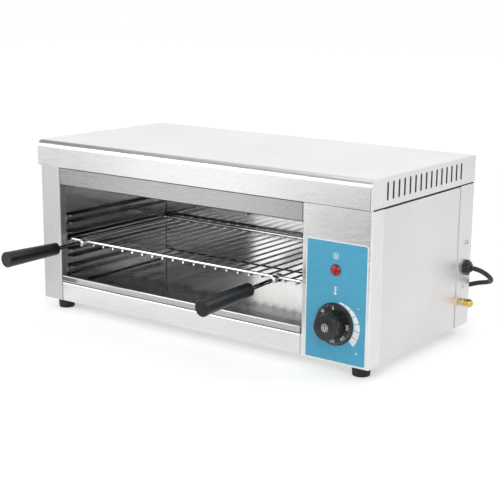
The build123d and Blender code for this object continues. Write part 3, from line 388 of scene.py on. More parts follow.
@dataclass(frozen=True)
class Moulding(Finish):
    """Moulded plastic, rubber or ceramic with a fine grain and a little wear."""

    depth: float = 0.00003
    strength: float = 0.4
    grain_scale: float = 1600.0
    patch_scale: float = 60.0
    wear: float = 0.35
    wear_light: float = 0.04
    rough_change: float = 0.06
    coat: float = 0.0

    def texture(self, graph: NodeGraph) -> None:
        """Grain in height, soft patches in colour and roughness."""
        patches = graph.noise(self.patch_scale, 3.0)
        lighter = tuple(c + self.wear * self.wear_light for c in self.colour)
        graph.feed(Base_Color=graph.ramp(patches, [(0.35, self.colour), (0.75, lighter)]))
        low, high = self.roughness - self.rough_change, self.roughness + self.rough_change
        self.roughen(graph, patches, (low, high))
        self.emboss(graph, graph.noise(self.grain_scale, 2.0))
        graph.set(Coat_Weight=self.coat, Coat_Roughness=0.12)


@dataclass(frozen=True)
class PrintedFilm(Finish):
    """Printed polyester film with a fine matt texture."""

    tones: FlatPoint = (0.96, 1.04)
    strength: float = 0.25
    ink_scale: float = 120.0
    grain_scale: float = 2600.0

    def texture(self, graph: NodeGraph) -> None:
        """Nearly even ink over a slightly rough film."""
        self.tint(graph, graph.noise(self.ink_scale, 2.0))
        self.emboss(graph, graph.noise(self.grain_scale, 1.0))
        graph.set(Coat_Weight=0.25, Coat_Roughness=0.25)


@dataclass(frozen=True)
class LensPlastic(Finish):
    """Coloured translucent plastic with a clear skin."""

    ends: FlatPoint = (0.1, 0.7)
    tones: FlatPoint = (1.6, 0.2)
    depth: float = 0.0003
    strength: float = 0.35
    cell_scale: float = 210.0

    def texture(self, graph: NodeGraph) -> None:
        """Saturated body under a glossy coat, with facets bumped from a Voronoi pattern, each
        painted lighter in its middle and darker at its edge.
        """
        facets_and_glints = graph.add("TexVoronoi")
        facets_and_glints.inputs["Scale"].default_value = self.cell_scale
        graph.join(graph.place(), facets_and_glints.inputs["Vector"])
        # Painted highlight and shade: each facet's colour is lighter in its middle and darker at
        # its edge.
        self.tint(graph, facets_and_glints.outputs["Distance"])
        self.emboss(graph, facets_and_glints.outputs["Distance"])
        graph.set(Coat_Weight=0.1, Coat_Roughness=0.06)


@dataclass(frozen=True)
class WovenTape(Finish):
    """Woven tape of the cord's tie."""

    ends: FlatPoint = (0.2, 0.8)
    tones: FlatPoint = (0.6, 1.6)
    depth: float = 0.0001
    strength: float = 0.6
    thread_scale: float = 500.0

    def texture(self, graph: NodeGraph) -> None:
        """Crossing waves for the threads."""
        threads = graph.add("TexWave", wave_type="BANDS", bands_direction="DIAGONAL")
        threads.inputs["Scale"].default_value = self.thread_scale
        graph.join(graph.place(), threads.inputs["Vector"])
        self.tint(graph, threads.outputs["Fac"])
        self.emboss(graph, threads.outputs["Fac"])


# One stainless sheet in five copies whose base colours stand in for light and shade: the header
# rail and the left post are darkened as painted shade, and the control panel and the sides are set
# a little lighter and darker than the lid to match how bright each face looks.
LID_STEEL = BrushedSteel("lid_steel", (0.88, 0.877, 0.87), 0.27, "casing_steel")
PANEL_STEEL = BrushedSteel("panel_steel", (0.9, 0.896, 0.888), 0.27, "casing_steel")
SIDE_STEEL = BrushedSteel(
    "side_steel", (0.84, 0.836, 0.828), 0.4, "casing_steel", grain=Grain.UPRIGHT
)
POST_STEEL_PAINTED_SHADE = BrushedSteel(
    "post_steel_painted_shade", (0.66, 0.656, 0.648), 0.4, "casing_steel", grain=Grain.UPRIGHT
)
RAIL_STEEL_PAINTED_SHADE = BrushedSteel("rail_steel_painted_shade", (0.5, 0.497, 0.491), 0.27, "casing_steel")
# The cavity's walls, runners, back wall, ceiling and drip tray are darkened well below the casing's
# steel: painted shade inside the cavity.
LINER_STEEL_PAINTED_SHADE = BrushedSteel(
    "liner_sheet_painted_shade", (0.46, 0.46, 0.45), 0.14, "liner_steel",
    end_grain=Grain.FRONT_TO_BACK, tones=(0.88, 1.12), line_scale=900.0, depth=0.000002,
)
BACK_STEEL_PAINTED_SHADE = BrushedSteel(
    "back_steel_painted_shade", (0.42, 0.42, 0.414), 0.11, "liner_steel",
    tones=(0.92, 1.08), line_scale=900.0, depth=0.000002,
)
TRAY_STEEL_PAINTED_SHADE = BrushedSteel(
    "tray_sheet_painted_shade", (0.54, 0.54, 0.533), 0.11, "tray_steel", depth=0.000001
)
WIRE_CHROME = BrightMetal("rack_chrome", (0.86, 0.86, 0.87), 0.1, "wire_chrome")
# The same chrome as the rack, made lighter in colour: a painted highlight on the clamps.
CLAMP_CHROME_PAINTED_LIGHT = BrightMetal("clamp_chrome_painted_light", (0.95, 0.95, 0.96), 0.22, "wire_chrome")
ZINC = BrightMetal("zinc_plate", (0.66, 0.66, 0.64), 0.3, "plated_steel", speck_scale=900.0)
CAP_METAL = BrightMetal("turned_cap", (0.85, 0.85, 0.86), 0.2, "cap_metal")
BRASS = BrightMetal("turned_brass", (0.86, 0.6, 0.19), 0.18, "brass")
COPPER = BrightMetal("drawn_copper", (0.72, 0.42, 0.27), 0.3, "copper_tube")
ELEMENT = HeatedSheath("heated_sheath", (0.05, 0.047, 0.045), 0.5, "element_sheath")
GRIP_PLASTIC = Moulding("grip_plastic", (0.006, 0.006, 0.007), 0.36, "handle_black", wear=0.15)
KNOB_PLASTIC = Moulding("knob_plastic", (0.01, 0.01, 0.012), 0.26, "knob_black", coat=0.2)
GLAND_PLASTIC = Moulding("gland_plastic", (0.015, 0.015, 0.015), 0.42, "gland_black")
LAMP_PLASTIC = Moulding("lamp_plastic", (0.03, 0.03, 0.03), 0.4, "lamp_black")
CORD_SHEATH = Moulding("cord_sheath", (0.014, 0.014, 0.015), 0.42, "cord_black", grain_scale=900.0)
PLUG_PLASTIC = Moulding("plug_plastic", (0.013, 0.013, 0.014), 0.34, "plug_black")
FOOT_RUBBER = Moulding("foot_moulding", (0.008, 0.008, 0.008), 0.6, "foot_rubber", wear=0.1)
PHENOLIC = Moulding("phenolic", (0.6, 0.57, 0.5), 0.5, "thermostat_case")
STEATITE = Moulding("steatite", (0.82, 0.8, 0.74), 0.6, "ceramic_white")
LABEL_BLUE = PrintedFilm("label_blue", (0.06, 0.365, 0.555), 0.4, "label_print")
LABEL_WHITE = PrintedFilm("label_white", (0.88, 0.89, 0.9), 0.4, "label_print")
DIAL_WHITE = PrintedFilm("dial_white", (0.95, 0.95, 0.93), 0.5, "knob_black")
# Flat dark plates that stand in for the shade inside recesses: painted shade.
RECESS_PAINTED_SHADE = Moulding("recess_painted_shade", (0.03, 0.03, 0.03), 0.5, "plated_steel")
# Flat dark strips for the shadow in joints and in the vents: painted shadow.
JOINT_PAINTED_SHADOW = Moulding("joint_painted_shadow", (0.012, 0.012, 0.012), 0.85, "casing_steel", wear=0.0)
LENS_RED = LensPlastic("lens_plastic", (0.6, 0.008, 0.012), 0.25, "lens_red")
TIE_TAPE = WovenTape("tie_tape", (0.03, 0.03, 0.03), 0.85, "tie_black")

NODES_BY_FINISH: dict[Finish, tuple[str, ...]] = {
    LID_STEEL: ("top_cover", "base_panel", "bottom_rail"),
    PANEL_STEEL: ("control_panel",),
    SIDE_STEEL: ("right_side_panel", "back_panel"),
    POST_STEEL_PAINTED_SHADE: ("left_side_panel",),
    RAIL_STEEL_PAINTED_SHADE: ("header_rail",),
    LINER_STEEL_PAINTED_SHADE: (
        "left_cavity_wall", "right_cavity_wall", "left_runners", "right_runners",
        "cavity_floor", "element_hangers", "bulb_clips",
    ),
    BACK_STEEL_PAINTED_SHADE: ("cavity_back_wall", "cavity_ceiling"),
    TRAY_STEEL_PAINTED_SHADE: ("drip_tray",),
    WIRE_CHROME: ("rack_frame", "rack_cross_wires", "left_handle_rod", "right_handle_rod"),
    CLAMP_CHROME_PAINTED_LIGHT: (
        "left_handle_clamp", "right_handle_clamp", "left_clamp_nut", "right_clamp_nut",
    ),
    ZINC: (
        "lid_spacers", "lid_screws", "foot_screws", "casing_screws", "thermostat_shaft",
        "thermostat_screws", "earth_washer",
    ),
    CAP_METAL: ("knob_cap",),
    BRASS: ("earth_stud", "earth_nuts", "plug_pins"),
    COPPER: ("sensor_bulb", "capillary_tube"),
    ELEMENT: ("front_heating_element", "rear_heating_element"),
    GRIP_PLASTIC: ("left_handle_grip", "right_handle_grip"),
    KNOB_PLASTIC: ("control_knob",),
    GLAND_PLASTIC: ("cable_gland", "gland_locknut"),
    LAMP_PLASTIC: ("lamp_body", "lamp_nut"),
    CORD_SHEATH: ("inner_lead",),
    PLUG_PLASTIC: ("mains_plug",),
    FOOT_RUBBER: ("rubber_feet",),
    PHENOLIC: ("thermostat_body",),
    STEATITE: ("terminal_block",),
    LABEL_WHITE: ("panel_label",),
    LENS_RED: ("lamp_lens",),
    TIE_TAPE: ("cord_tie",),
}


# ---- mesh tools


def circle(radius: float, count: int, start: float = 0.0, turn: float = 360.0) -> list[FlatPoint]:
    """Points on an arc, clockwise from the top as seen from the front.

    Args:
        radius: the arc's radius.
        count: number of points.
        start: first angle in degrees, 0 at the top.
        turn: how far the arc goes; a full circle leaves out its closing point.

    Returns:
        Points as (to the right, up).
    """
    steps = count if turn == 360.0 else count - 1
    angles = [math.radians(start + turn * i / steps) for i in range(count)]
    return [(radius * math.sin(a), radius * math.cos(a)) for a in angles]


def rounded_box(width: float, height: float, radius: float, steps: int = 6) -> list[FlatPoint]:
    """Outline of a rectangle with round corners, centred on the origin.

    Args:
        width: size to the right.
        height: size upwards.
        radius: corner radius.
        steps: spans of each corner.

    Returns:
        Points in order.
    """
    points = []
    for quarter in range(4):
        angle = math.radians(45 + 90 * quarter)
        cx = math.copysign(width / 2 - radius, math.sin(angle))
        cz = math.copysign(height / 2 - radius, math.cos(angle))
        corner = circle(radius, steps + 1, start=90.0 * quarter, turn=90.0)
        points += [(cx + x, cz + z) for x, z in corner]
    return points


def moved(points: list[FlatPoint], right: float, up: float) -> list[FlatPoint]:
    """The same outline shifted to the right and up."""
    return [(x + right, z + up) for x, z in points]


def spun(points: list[FlatPoint], degrees: float) -> list[FlatPoint]:
    """The same outline turned clockwise round the origin."""
    c, s = math.cos(math.radians(degrees)), math.sin(math.radians(degrees))
    return [(x * c + z * s, -x * s + z * c) for x, z in points]


def bar(width: float, low: float, high: float) -> list[FlatPoint]:
    """Corners of an upright bar on the origin's upright line, from one height to another."""
    half = width / 2
    return [(-half, low), (half, low), (half, high), (-half, high)]


def middle(name: str) -> Vector:
    """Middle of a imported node's box."""
    low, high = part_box(name)
    return Vector([(a + b) / 2 for a, b in zip(low, high)])


class Plates:
    """Thin flat plates that together make one piece, all looking to one side."""

    def __init__(self, facing: Facing, origin: Vector, thickness: float) -> None:
        """Start an empty piece.

        Args:
            facing: the side that the plates look to.
            origin: point on the surface that carries them.
            thickness: how far they stand out.
        """
        normal = Vector(facing.value)
        up = Vector((0.0, 1.0, 0.0)) if facing is Facing.UP else Vector((0.0, 0.0, 1.0))
        right = up.cross(normal)
        self.matrix = Matrix.Translation(origin) @ Matrix((right, up, normal)).transposed().to_4x4()
        self.thickness = thickness
        self.mesh = bmesh.new()

    def plate(self, outline: list[FlatPoint], holes: tuple[list[FlatPoint], ...] = ()) -> None:
        """Add one plate.

        Args:
            outline: its outer edge.
            holes: edges of its openings.
        """
        part = bmesh.new()
        for ring in (outline, *holes):
            corners = [part.verts.new((x, z, 0.0)) for x, z in ring]
            for first, second in zip(corners, corners[1:] + corners[:1]):
                part.edges.new((first, second))
        bmesh.ops.triangle_fill(part, use_beauty=True, use_dissolve=False, edges=part.edges[:])
        for face in part.faces:
            if face.normal.z < 0:
                face.normal_flip()
        lifted = bmesh.ops.extrude_face_region(part, geom=part.faces[:])
        top = [v for v in lifted["geom"] if isinstance(v, bmesh.types.BMVert)]
        bmesh.ops.translate(part, vec=(0.0, 0.0, self.thickness), verts=top)
        bmesh.ops.recalc_face_normals(part, faces=part.faces[:])
        shape = bpy.data.meshes.new("plate")
        part.to_mesh(shape)
        part.free()
        self.mesh.from_mesh(shape)
        bpy.data.meshes.remove(shape)

    def ring(self, outer: float, inner: float, up: float = 0.0) -> None:
        """Add a ring, from its radii and the height of its centre."""
        edge, hole = (moved(circle(radius, RING_POINTS), 0.0, up) for radius in (outer, inner))
        self.plate(edge, (hole,))

    def piece(self, name: str, finish: Finish, body: Body = Body.CASING) -> None:
        """Make the object from the plates so far.

        Args:
            name: the piece's name.
            finish: its finish.
            body: the body that carries it.
        """
        self.mesh.transform(self.matrix)
        shape = bpy.data.meshes.new(name)
        self.mesh.to_mesh(shape)
        self.mesh.free()
        settle(bpy.data.objects.new(name, shape), finish, body)


def settle(piece: bpy.types.Object, finish: Finish, body: Body) -> None:
    """Link a new piece to the scene, dress it and let it ride.

    Args:
        piece: the new object.
        finish: its finish.
        body: the body that carries it.
    """
    bpy.context.scene.collection.objects.link(piece)
    finish.dress(piece)
    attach(piece, body.value)
    LOG.info("piece %s rides on %s in %s", piece.name, body.value, finish.name)


# ---- the pieces


@dataclass
class Casing:
    """Faces of the casing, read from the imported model."""

    left: float = field(default_factory=lambda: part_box("left_side_panel")[0].x)
    right: float = field(default_factory=lambda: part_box("back_panel")[1].x)
    front: float = field(default_factory=lambda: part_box("left_side_panel")[0].y)
    back: float = field(default_factory=lambda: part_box("back_panel")[1].y)
    bottom: float = field(default_factory=lambda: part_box("left_side_panel")[0].z)

    def dress_nodes(self) -> None:
        """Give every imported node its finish."""
        for finish, names in NODES_BY_FINISH.items():
            for name in names:
                finish.dress(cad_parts[name])
            LOG.info("%s: nodes %s", finish.name, ", ".join(names))


@dataclass
class PowerCord:
    """The mains cord: out of the gland, round the rear corner, coiled behind the casing."""

    diameter: float = 0.007
    length: float = 1.48
    millimetre: float = 0.001
    route: tuple[Point, ...] = (
        (0.0, 0.0, 0.0),
        (10.0, 0.0, 0.0),
        (23.0, 4.5, -7.0),
        (25.5, 16.0, -16.5),
        (18.5, 25.5, -23.0),
        (-5.5, 30.0, -29.0),
        (-32.0, 32.0, -40.0),
        (-60.0, 34.5, -56.5),
        (-84.0, 36.5, -77.0),
        (-111.0, 37.0, -93.0),
        (-143.0, 36.0, -99.0),
        (-174.0, 36.0, -99.0),
    )
    lead: tuple[Point, ...] = (
        (-19.0, 0.0, 0.0),
        (-37.0, 6.0, 0.0),
        (-52.0, 17.5, 0.0),
    )
    inner_radius: float = 0.0285
    turns_per_layer: float = 2.25
    pitch: float = 0.0078
    layer_step: float = 0.0077
    crossing: float = 0.5
    points_per_turn: int = 16

    def exit(self) -> Vector:
        """Mouth of the gland."""
        mouth = middle("cable_gland")
        mouth.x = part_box("cable_gland")[1].x
        return mouth

    def coil_points(self, start: Vector) -> list[Vector]:
        """Control points of the coil: in on the lower layer, out on the upper one.

        Args:
            start: end of the free stretch.

        Returns:
            The points in order.
        """
        turns = 2 * self.turns_per_layer + self.crossing
        outer = self.inner_radius + self.pitch * self.turns_per_layer
        centre = start + Vector((-self.diameter, outer, 0.0))
        swell = 1.0 / math.cos(math.pi / self.points_per_turn)
        points = [start + Vector((-self.diameter, 0.0, 0.0))]
        for i in range(1, int(turns * self.points_per_turn)):
            turned = i / self.points_per_turn
            climbed = turned - self.turns_per_layer
            if climbed <= 0:
                radius, rise = outer - self.pitch * turned, 0.0
            elif climbed < self.crossing:
                radius = self.inner_radius - self.pitch * climbed * (1 - 2 * climbed)
                rise = 2 * climbed * self.layer_step
            else:
                radius = self.inner_radius + self.pitch * (climbed - self.crossing)
                rise = self.layer_step
            angle = -math.pi / 2 - 2 * math.pi * turned
            reach = radius * swell
            offset = Vector((reach * math.cos(angle), reach * math.sin(angle), rise))
            points.append(centre + offset)
        points.append(centre + Vector((0.0, -outer, self.layer_step)))
        return points

    def points(self) -> list[Vector]:
        """All control points, from the gland to the plug."""
        mouth = self.exit()
        points = [mouth + Vector(p) * self.millimetre for p in self.route]
        points += self.coil_points(points[-1])
        end = points[-1] + Vector((-self.diameter, 0.0, 0.0))
        points.append(end)
        return points + [end + Vector(p) * self.millimetre for p in self.lead]

    def build(self) -> None:
        """Make the cord as one smooth curve that stands for its packed tubes."""
        curve = bpy.data.curves.new("mains_cord", "CURVE")
        curve.dimensions = "3D"
        curve.bevel_depth = self.diameter / 2
        curve.bevel_resolution = 5
        curve.resolution_u = 6
        curve.use_fill_caps = True
        spline = curve.splines.new("NURBS")
        points = self.points()
        spline.points.add(len(points) - 1)
        for slot, point in zip(spline.points, points):
            slot.co = (*point, 1.0)
        spline.order_u = 3
        spline.use_endpoint_u = True
        cord = bpy.data.objects.new("mains_cord", curve)
        settle(cord, CORD_SHEATH, Body.CASING)
        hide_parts("power_cord", "cord_coil", "plug_lead")
        tuple(self.exit())


@dataclass
class ControlLabel:
    """Printed label: blue field, white edge, heat scale round the knob and plain signs."""

    border: float = 0.0013
    corner: float = 0.0022
    ink: float = 0.00006
    shaft_hole: float = 0.018
    lamp_hole: float = 0.0061
    scale_start: float = 12.0
    scale_end: float = 133.0
    scale_segments: int = 7
    scale_gap: float = 1.6
    scale_inner: float = 0.0298
    scale_thin: float = 0.0016
    scale_thick: float = 0.0092
    scale_growth: float = 1.6
    segment_points: int = 7
    line: float = 0.0007
    rim_width: float = 0.0007
    rim_depth: float = 0.0011
    lamp_sign_rise: float = 0.0185
    lamp_sign_radius: float = 0.0042
    thermometer_rise: float = 0.0455
    bulb_radius: float = 0.0021
    bulb_drop: float = 0.0035
    stem: tuple[float, float, float] = (0.0017, 0.0085, 0.0008)
    stem_rise: float = 0.0015
    mark: FlatPoint = (0.0005, 0.0018)
    first_mark: FlatPoint = (0.0028, 0.0005)
    mark_pitch: float = 0.002
    end_sign: float = 0.0042
    minus_place: FlatPoint = (0.0355, 0.0265)
    plus_place: FlatPoint = (0.0345, -0.0345)

    def plates(self, node: str, lift: float, thickness: float) -> Plates:
        """Start a piece on the label's face, with its origin in front of a node's middle.

        Args:
            node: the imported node.
            lift: distance of the plates in front of the label.
            thickness: how far they stand out.

        Returns:
            The empty piece.
        """
        centre = middle(node)
        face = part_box("panel_label")[0].y - lift
        return Plates(Facing.FRONT, Vector((centre.x, face, centre.z)), thickness)

    def build_field(self) -> None:
        """Blue field inside the white edge, open round the shaft and the lamp."""
        low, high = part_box("panel_label")
        size = high - low
        outline = rounded_box(size.x - 2 * self.border, size.z - 2 * self.border, self.corner)
        knob = middle("control_knob") - middle("panel_label")
        lamp = middle("lamp_lens") - middle("panel_label")
        shaft_hole = moved(circle(self.shaft_hole, 40), knob.x, knob.z)
        lamp_hole = moved(circle(self.lamp_hole, 28), lamp.x, lamp.z)
        plates = self.plates("panel_label", 0.0, self.ink)
        plates.plate(outline, (shaft_hole, lamp_hole))
        plates.piece("label_field", LABEL_BLUE)

    def build_scale(self) -> None:
        """White wedge scale that grows from low heat to high."""
        plates = self.plates("control_knob", self.ink, self.ink)
        total = self.scale_end - self.scale_start
        span = total / self.scale_segments
        for i in range(self.scale_segments):
            start = self.scale_start + i * span
            edge = circle(1.0, self.segment_points, start, span - self.scale_gap)
            inner = [(x * self.scale_inner, z * self.scale_inner) for x, z in edge]
            outer = []
            for x, z in edge:
                angle = math.degrees(math.atan2(x, z))
                grown = min(1.0, self.scale_growth * (angle - self.scale_start) / total)
                reach = self.scale_inner + self.scale_thin
                reach += (self.scale_thick - self.scale_thin) * grown
                outer.append((x * reach, z * reach))
            plates.plate(inner + outer[::-1])
        plates.piece("heat_scale", LABEL_WHITE)

    def build_lamp_sign(self) -> None:
        """A crossed ring over the lamp, and the lamp's own rim."""
        sign = self.plates("lamp_lens", self.ink, self.ink)
        radius, rise = self.lamp_sign_radius, self.lamp_sign_rise
        sign.ring(radius, radius - self.line, rise)
        reach = radius - self.line / 2
        for angle in (45.0, 135.0):
            sign.plate(moved(spun(bar(self.line, -reach, reach), angle), 0.0, rise))
        sign.piece("lamp_sign", LABEL_WHITE)
        low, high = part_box("lamp_lens")
        radius = (high.x - low.x) / 2
        rim = self.plates("lamp_lens", 0.0, self.rim_depth)
        rim.ring(radius + self.rim_width, radius)
        rim.piece("lamp_rim", LAMP_PLASTIC)

    def build_dial_signs(self) -> None:
        """A thermometer over the dial, minus and plus at the ends of the scale."""
        dial = self.plates("control_knob", self.ink, self.ink)
        rise = self.thermometer_rise
        dial.plate(moved(circle(self.bulb_radius, 24), 0.0, rise - self.bulb_drop))
        dial.plate(moved(rounded_box(*self.stem), 0.0, rise + self.stem_rise))
        width, length = self.mark
        level = spun(bar(width, -length / 2, length / 2), 90.0)
        right, up = self.first_mark
        for step in range(3):
            dial.plate(moved(level, right, rise + up + step * self.mark_pitch))
        upright = bar(self.line, -self.end_sign / 2, self.end_sign / 2)
        level = spun(upright, 90.0)
        dial.plate(moved(level, *self.minus_place))
        dial.plate(moved(level, *self.plus_place))
        dial.plate(moved(upright, *self.plus_place))
        dial.piece("dial_signs", LABEL_WHITE)

    def build(self) -> None:
        """Make all printed parts of the label."""
        self.build_field()
        self.build_scale()
        self.build_lamp_sign()
        self.build_dial_signs()


@dataclass
class KnobDial:
    """White marks and plain numbers on the knob's skirt."""

    skirt_thickness: float = 0.0042
    ink: float = 0.00005
    number_radius: float = 0.0222
    number_size: float = 0.0055
    tick_outer: float = 0.0268
    tick_short: float = 0.0012
    tick_long: float = 0.002
    tick_width: float = 0.00035
    numbers: tuple[int, ...] = (0, 50, 100, 150, 200, 250, 300)
    number_turn: float = -45.0
    ticks_between: int = 5
    groove_outer: float = 0.0047
    groove_inner: float = 0.0034
    slot_width: float = 0.0017
    slot_share: float = 0.8

    def axis(self) -> Vector:
        """Point on the knob's axis in the skirt's front face."""
        axis = middle("control_knob")
        axis.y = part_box("control_knob")[1].y - self.skirt_thickness
        return axis

    def build_ticks(self) -> None:
        """Radial marks near the skirt's edge."""
        plates = Plates(Facing.FRONT, self.axis(), self.ink)
        for i in range((len(self.numbers) - 1) * self.ticks_between + 1):
            length = self.tick_short if i % self.ticks_between else self.tick_long
            tick = bar(self.tick_width, self.tick_outer - length, self.tick_outer)
            plates.plate(spun(tick, i * self.number_turn / self.ticks_between))
        plates.piece("dial_ticks", DIAL_WHITE, Body.KNOB)

    def build_numbers(self) -> None:
        """Plain numbers, each read from the middle of the knob."""
        for i, number in enumerate(self.numbers):
            text = bpy.data.curves.new(f"dial_number_{number}", "FONT")
            text.body = str(number)
            text.size = self.number_size
            text.align_x = "CENTER"
            text.align_y = "CENTER"
            text.extrude = self.ink
            text.resolution_u = 3
            piece = bpy.data.objects.new(text.name, text)
            turn = Matrix.Rotation(math.radians(i * self.number_turn), 4, "Y")
            out = Matrix.Translation((0.0, 0.0, self.number_radius))
            upright = Matrix.Rotation(math.pi / 2, 4, "X")
            piece.matrix_world = Matrix.Translation(self.axis()) @ turn @ out @ upright
            settle(piece, DIAL_WHITE, Body.KNOB)

    def build_cap_slot(self) -> None:
        """Dark ring and bar on the cap's face: painted shade of its groove and screwdriver slot."""
        centre = middle("knob_cap")
        centre.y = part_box("knob_cap")[0].y
        plates = Plates(Facing.FRONT, centre, self.ink)
        plates.ring(self.groove_outer, self.groove_inner)
        reach = self.groove_inner * self.slot_share
        plates.plate(bar(self.slot_width, -reach, reach))
        plates.piece("cap_slot_painted_shade", RECESS_PAINTED_SHADE, Body.KNOB)

    def build(self) -> None:
        """Make the marks, the numbers and the painted shade of the cap's slot."""
        self.build_ticks()
        self.build_numbers()
        self.build_cap_slot()


@dataclass
class SmallFasteners:
    """Dark crosses on the screw heads that show: painted shade of their cross recesses."""

    casing: Casing
    head_height: float = 0.0018
    recess: float = 0.0032
    recess_width: float = 0.0009
    mark: float = 0.00004
    strip_screw_from_back: float = 0.0172
    strip_screw_rise: float = 0.1248
    back_screw_inset: float = 0.06
    back_screw_rises: tuple[float, float] = (0.024, 0.19)
    lid_screw_inset: float = 0.12
    lid_screw_rise: float = 0.2295
    lid_back_overhang: float = 0.0049

    def cross(self, name: str, facing: Facing, centre: Vector) -> None:
        """Lay one dark cross, the painted shade of a cross recess.

        Args:
            name: the piece's name.
            facing: side that the screw looks to.
            centre: middle of the head's face.
        """
        plates = Plates(facing, centre, self.mark)
        a, b = self.recess / 2, self.recess_width / 2
        plates.plate([
            (-b, -a), (b, -a), (b, -b), (a, -b), (a, b), (b, b),
            (b, a), (-b, a), (-b, b), (-a, b), (-a, -b), (-b, -b),
        ])
        plates.piece(name, RECESS_PAINTED_SHADE)

    def build(self) -> None:
        """Lay the painted shade crosses on the strip's, the back's and the lid's screws."""
        case = self.casing
        strip_y = case.back - self.strip_screw_from_back
        strip_z = case.bottom + self.strip_screw_rise
        back_y = case.back + self.head_height
        lid_y, lid_z = back_y + self.lid_back_overhang, case.bottom + self.lid_screw_rise
        sides = (("left", case.left, 1), ("right", case.right, -1))
        for side, edge, inward in reversed(sides):
            place = Vector((edge - inward * self.head_height, strip_y, strip_z))
            self.cross(f"recess_{side}_strip", Facing[side.upper()], place)
        for side, edge, inward in sides:
            x = edge + inward * self.back_screw_inset
            for level, rise in zip(("low", "high"), self.back_screw_rises):
                place = Vector((x, back_y, case.bottom + rise))
                self.cross(f"recess_back_{side}_{level}", Facing.BACK, place)
        for side, edge, inward in sides:
            place = Vector((edge + inward * self.lid_screw_inset, lid_y, lid_z))
            self.cross(f"recess_lid_{side}", Facing.BACK, place)


@dataclass
class JointShades:
    """Painted shadow lines in the joints where two sheets meet, and painted shade over the lid's
    vents.
    """

    casing: Casing
    line: float = 0.0007
    lift: float = 0.00005
    view_gap: float = 0.0017
    lid_shade: float = 0.0013
    groove: float = 0.0006
    groove_from_end: float = 0.0022
    groove_height: float = 0.029
    vent_count: int = 15
    vent_pitch: float = 0.0148
    vent_width: float = 0.0032
    vent_height: float = 0.0232
    vent_first: float = 0.038
    vent_rise: float = 0.0086
    vent_margin: float = 0.0005
    vent_roundness: float = 0.49

    def strip(
        self, name: str, low: Vector, width: float, height: float, facing: Facing = Facing.FRONT
    ) -> None:
        """Lay one straight painted shadow line.

        Args:
            name: the piece's name.
            low: its lower left corner, on the face that carries it.
            width: its size to the right.
            height: its size upwards.
            facing: side that it looks to.
        """
        plates = Plates(facing, low, self.lift)
        plates.plate([(0.0, 0.0), (width, 0.0), (width, height), (0.0, height)])
        plates.piece(name, JOINT_PAINTED_SHADOW)

    def build_front(self) -> None:
        """Painted shadow lines at the rails' ends, under the lid's edge and in the lid's corner
        groove.
        """
        lid_low, lid_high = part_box("top_cover")
        panel_low, panel_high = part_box("control_panel")
        for name in ("header_rail", "bottom_rail"):
            low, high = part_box(name)
            height = min(high.z, lid_low.z) - low.z
            self.strip(f"{name}_left_joint", low, self.line, height)
            corner = Vector((high.x - self.view_gap - self.line, low.y, low.z))
            self.strip(f"{name}_right_joint", corner, self.line, height)
        low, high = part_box("header_rail")
        under = Vector((low.x, low.y, lid_low.z - self.lid_shade - self.line))
        self.strip("header_rail_top_shadow", under, high.x - low.x, self.lid_shade)
        under = Vector((panel_low.x, panel_low.y, panel_high.z - self.line))
        width = panel_high.x - panel_low.x - self.vent_width
        self.strip("control_panel_top_shadow", under, width, self.groove)
        lid_end = lid_high.x - self.groove_from_end
        corner = Vector((lid_end, lid_low.y + self.groove, lid_low.z))
        self.strip("lid_corner_groove_shadow", corner, self.groove, self.groove_height)

    def build_side(self) -> None:
        """Painted shadow line at the control panel's folded side."""
        low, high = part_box("right_side_panel")
        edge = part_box("control_panel")[1].y
        corner = Vector((high.x, edge, low.z))
        self.strip("service_panel_joint_shadow", corner, self.line, high.z - low.z, Facing.RIGHT)

    def build_vents(self) -> None:
        """Dark plates over the vent slots of both ends, a little wider than the slots: painted
        shade where their dark inside would show.
        """
        low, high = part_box("top_cover")
        front, rise = self.casing.front, low.z + self.vent_rise + self.vent_height / 2
        width = self.vent_width + 2 * self.vent_margin
        height = self.vent_height + 2 * self.vent_margin
        slot = rounded_box(width, height, width * self.vent_roundness)
        for facing, x, sign in ((Facing.RIGHT, high.x, 1), (Facing.LEFT, low.x, -1)):
            plates = Plates(facing, Vector((x, front, rise)), self.lift)
            for i in range(self.vent_count):
                plates.plate(moved(slot, sign * (self.vent_first + i * self.vent_pitch), 0.0))
            plates.piece(f"vent_shadows_{facing.name.lower()}", JOINT_PAINTED_SHADOW)

    def build(self) -> None:
        """Make all painted shadow lines and the vents' painted shade plates."""
        self.build_front()
        self.build_side()
        self.build_vents()


@dataclass
class PlugDetails:
    """Rim of the screw on the plug's pin face."""

    rim_outer: float = 0.0034
    rim_inner: float = 0.0012
    mark: float = 0.0003

    def build(self) -> None:
        """Lay the rim between the pins."""
        centre = middle("plug_pins")
        centre.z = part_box("mains_plug")[1].z
        plates = Plates(Facing.UP, centre, self.mark)
        plates.plate(circle(self.rim_outer, 28), (circle(self.rim_inner, 16),))
        plates.piece("plug_screw_rim", PLUG_PLASTIC)


# ---- the studio


def stand(name: str, data: bpy.types.ID) -> bpy.types.Object:
    """Put a new object of the studio into the scene.

    Args:
        name: the object's name.
        data: its lamp, camera or mesh.

    Returns:
        The object.
    """
    thing = bpy.data.objects.new(name, data)
    bpy.context.scene.collection.objects.link(thing)
    return thing


def lay(name: str, corners: list[FlatPoint], height: float, paint: NodeGraph) -> bpy.types.Object:
    """Lay a flat four-cornered sheet.

    Args:
        name: its name.
        corners: its corners in the frame's X and Y, in order.
        height: its height.
        paint: its material's node tree.

    Returns:
        The object.
    """
    mesh = bpy.data.meshes.new(name)
    mesh.from_pydata([(x, y, height) for x, y in corners], [], [(0, 1, 2, 3)])
    mesh.materials.append(paint.material)
    sheet = stand(name, mesh)
    return sheet


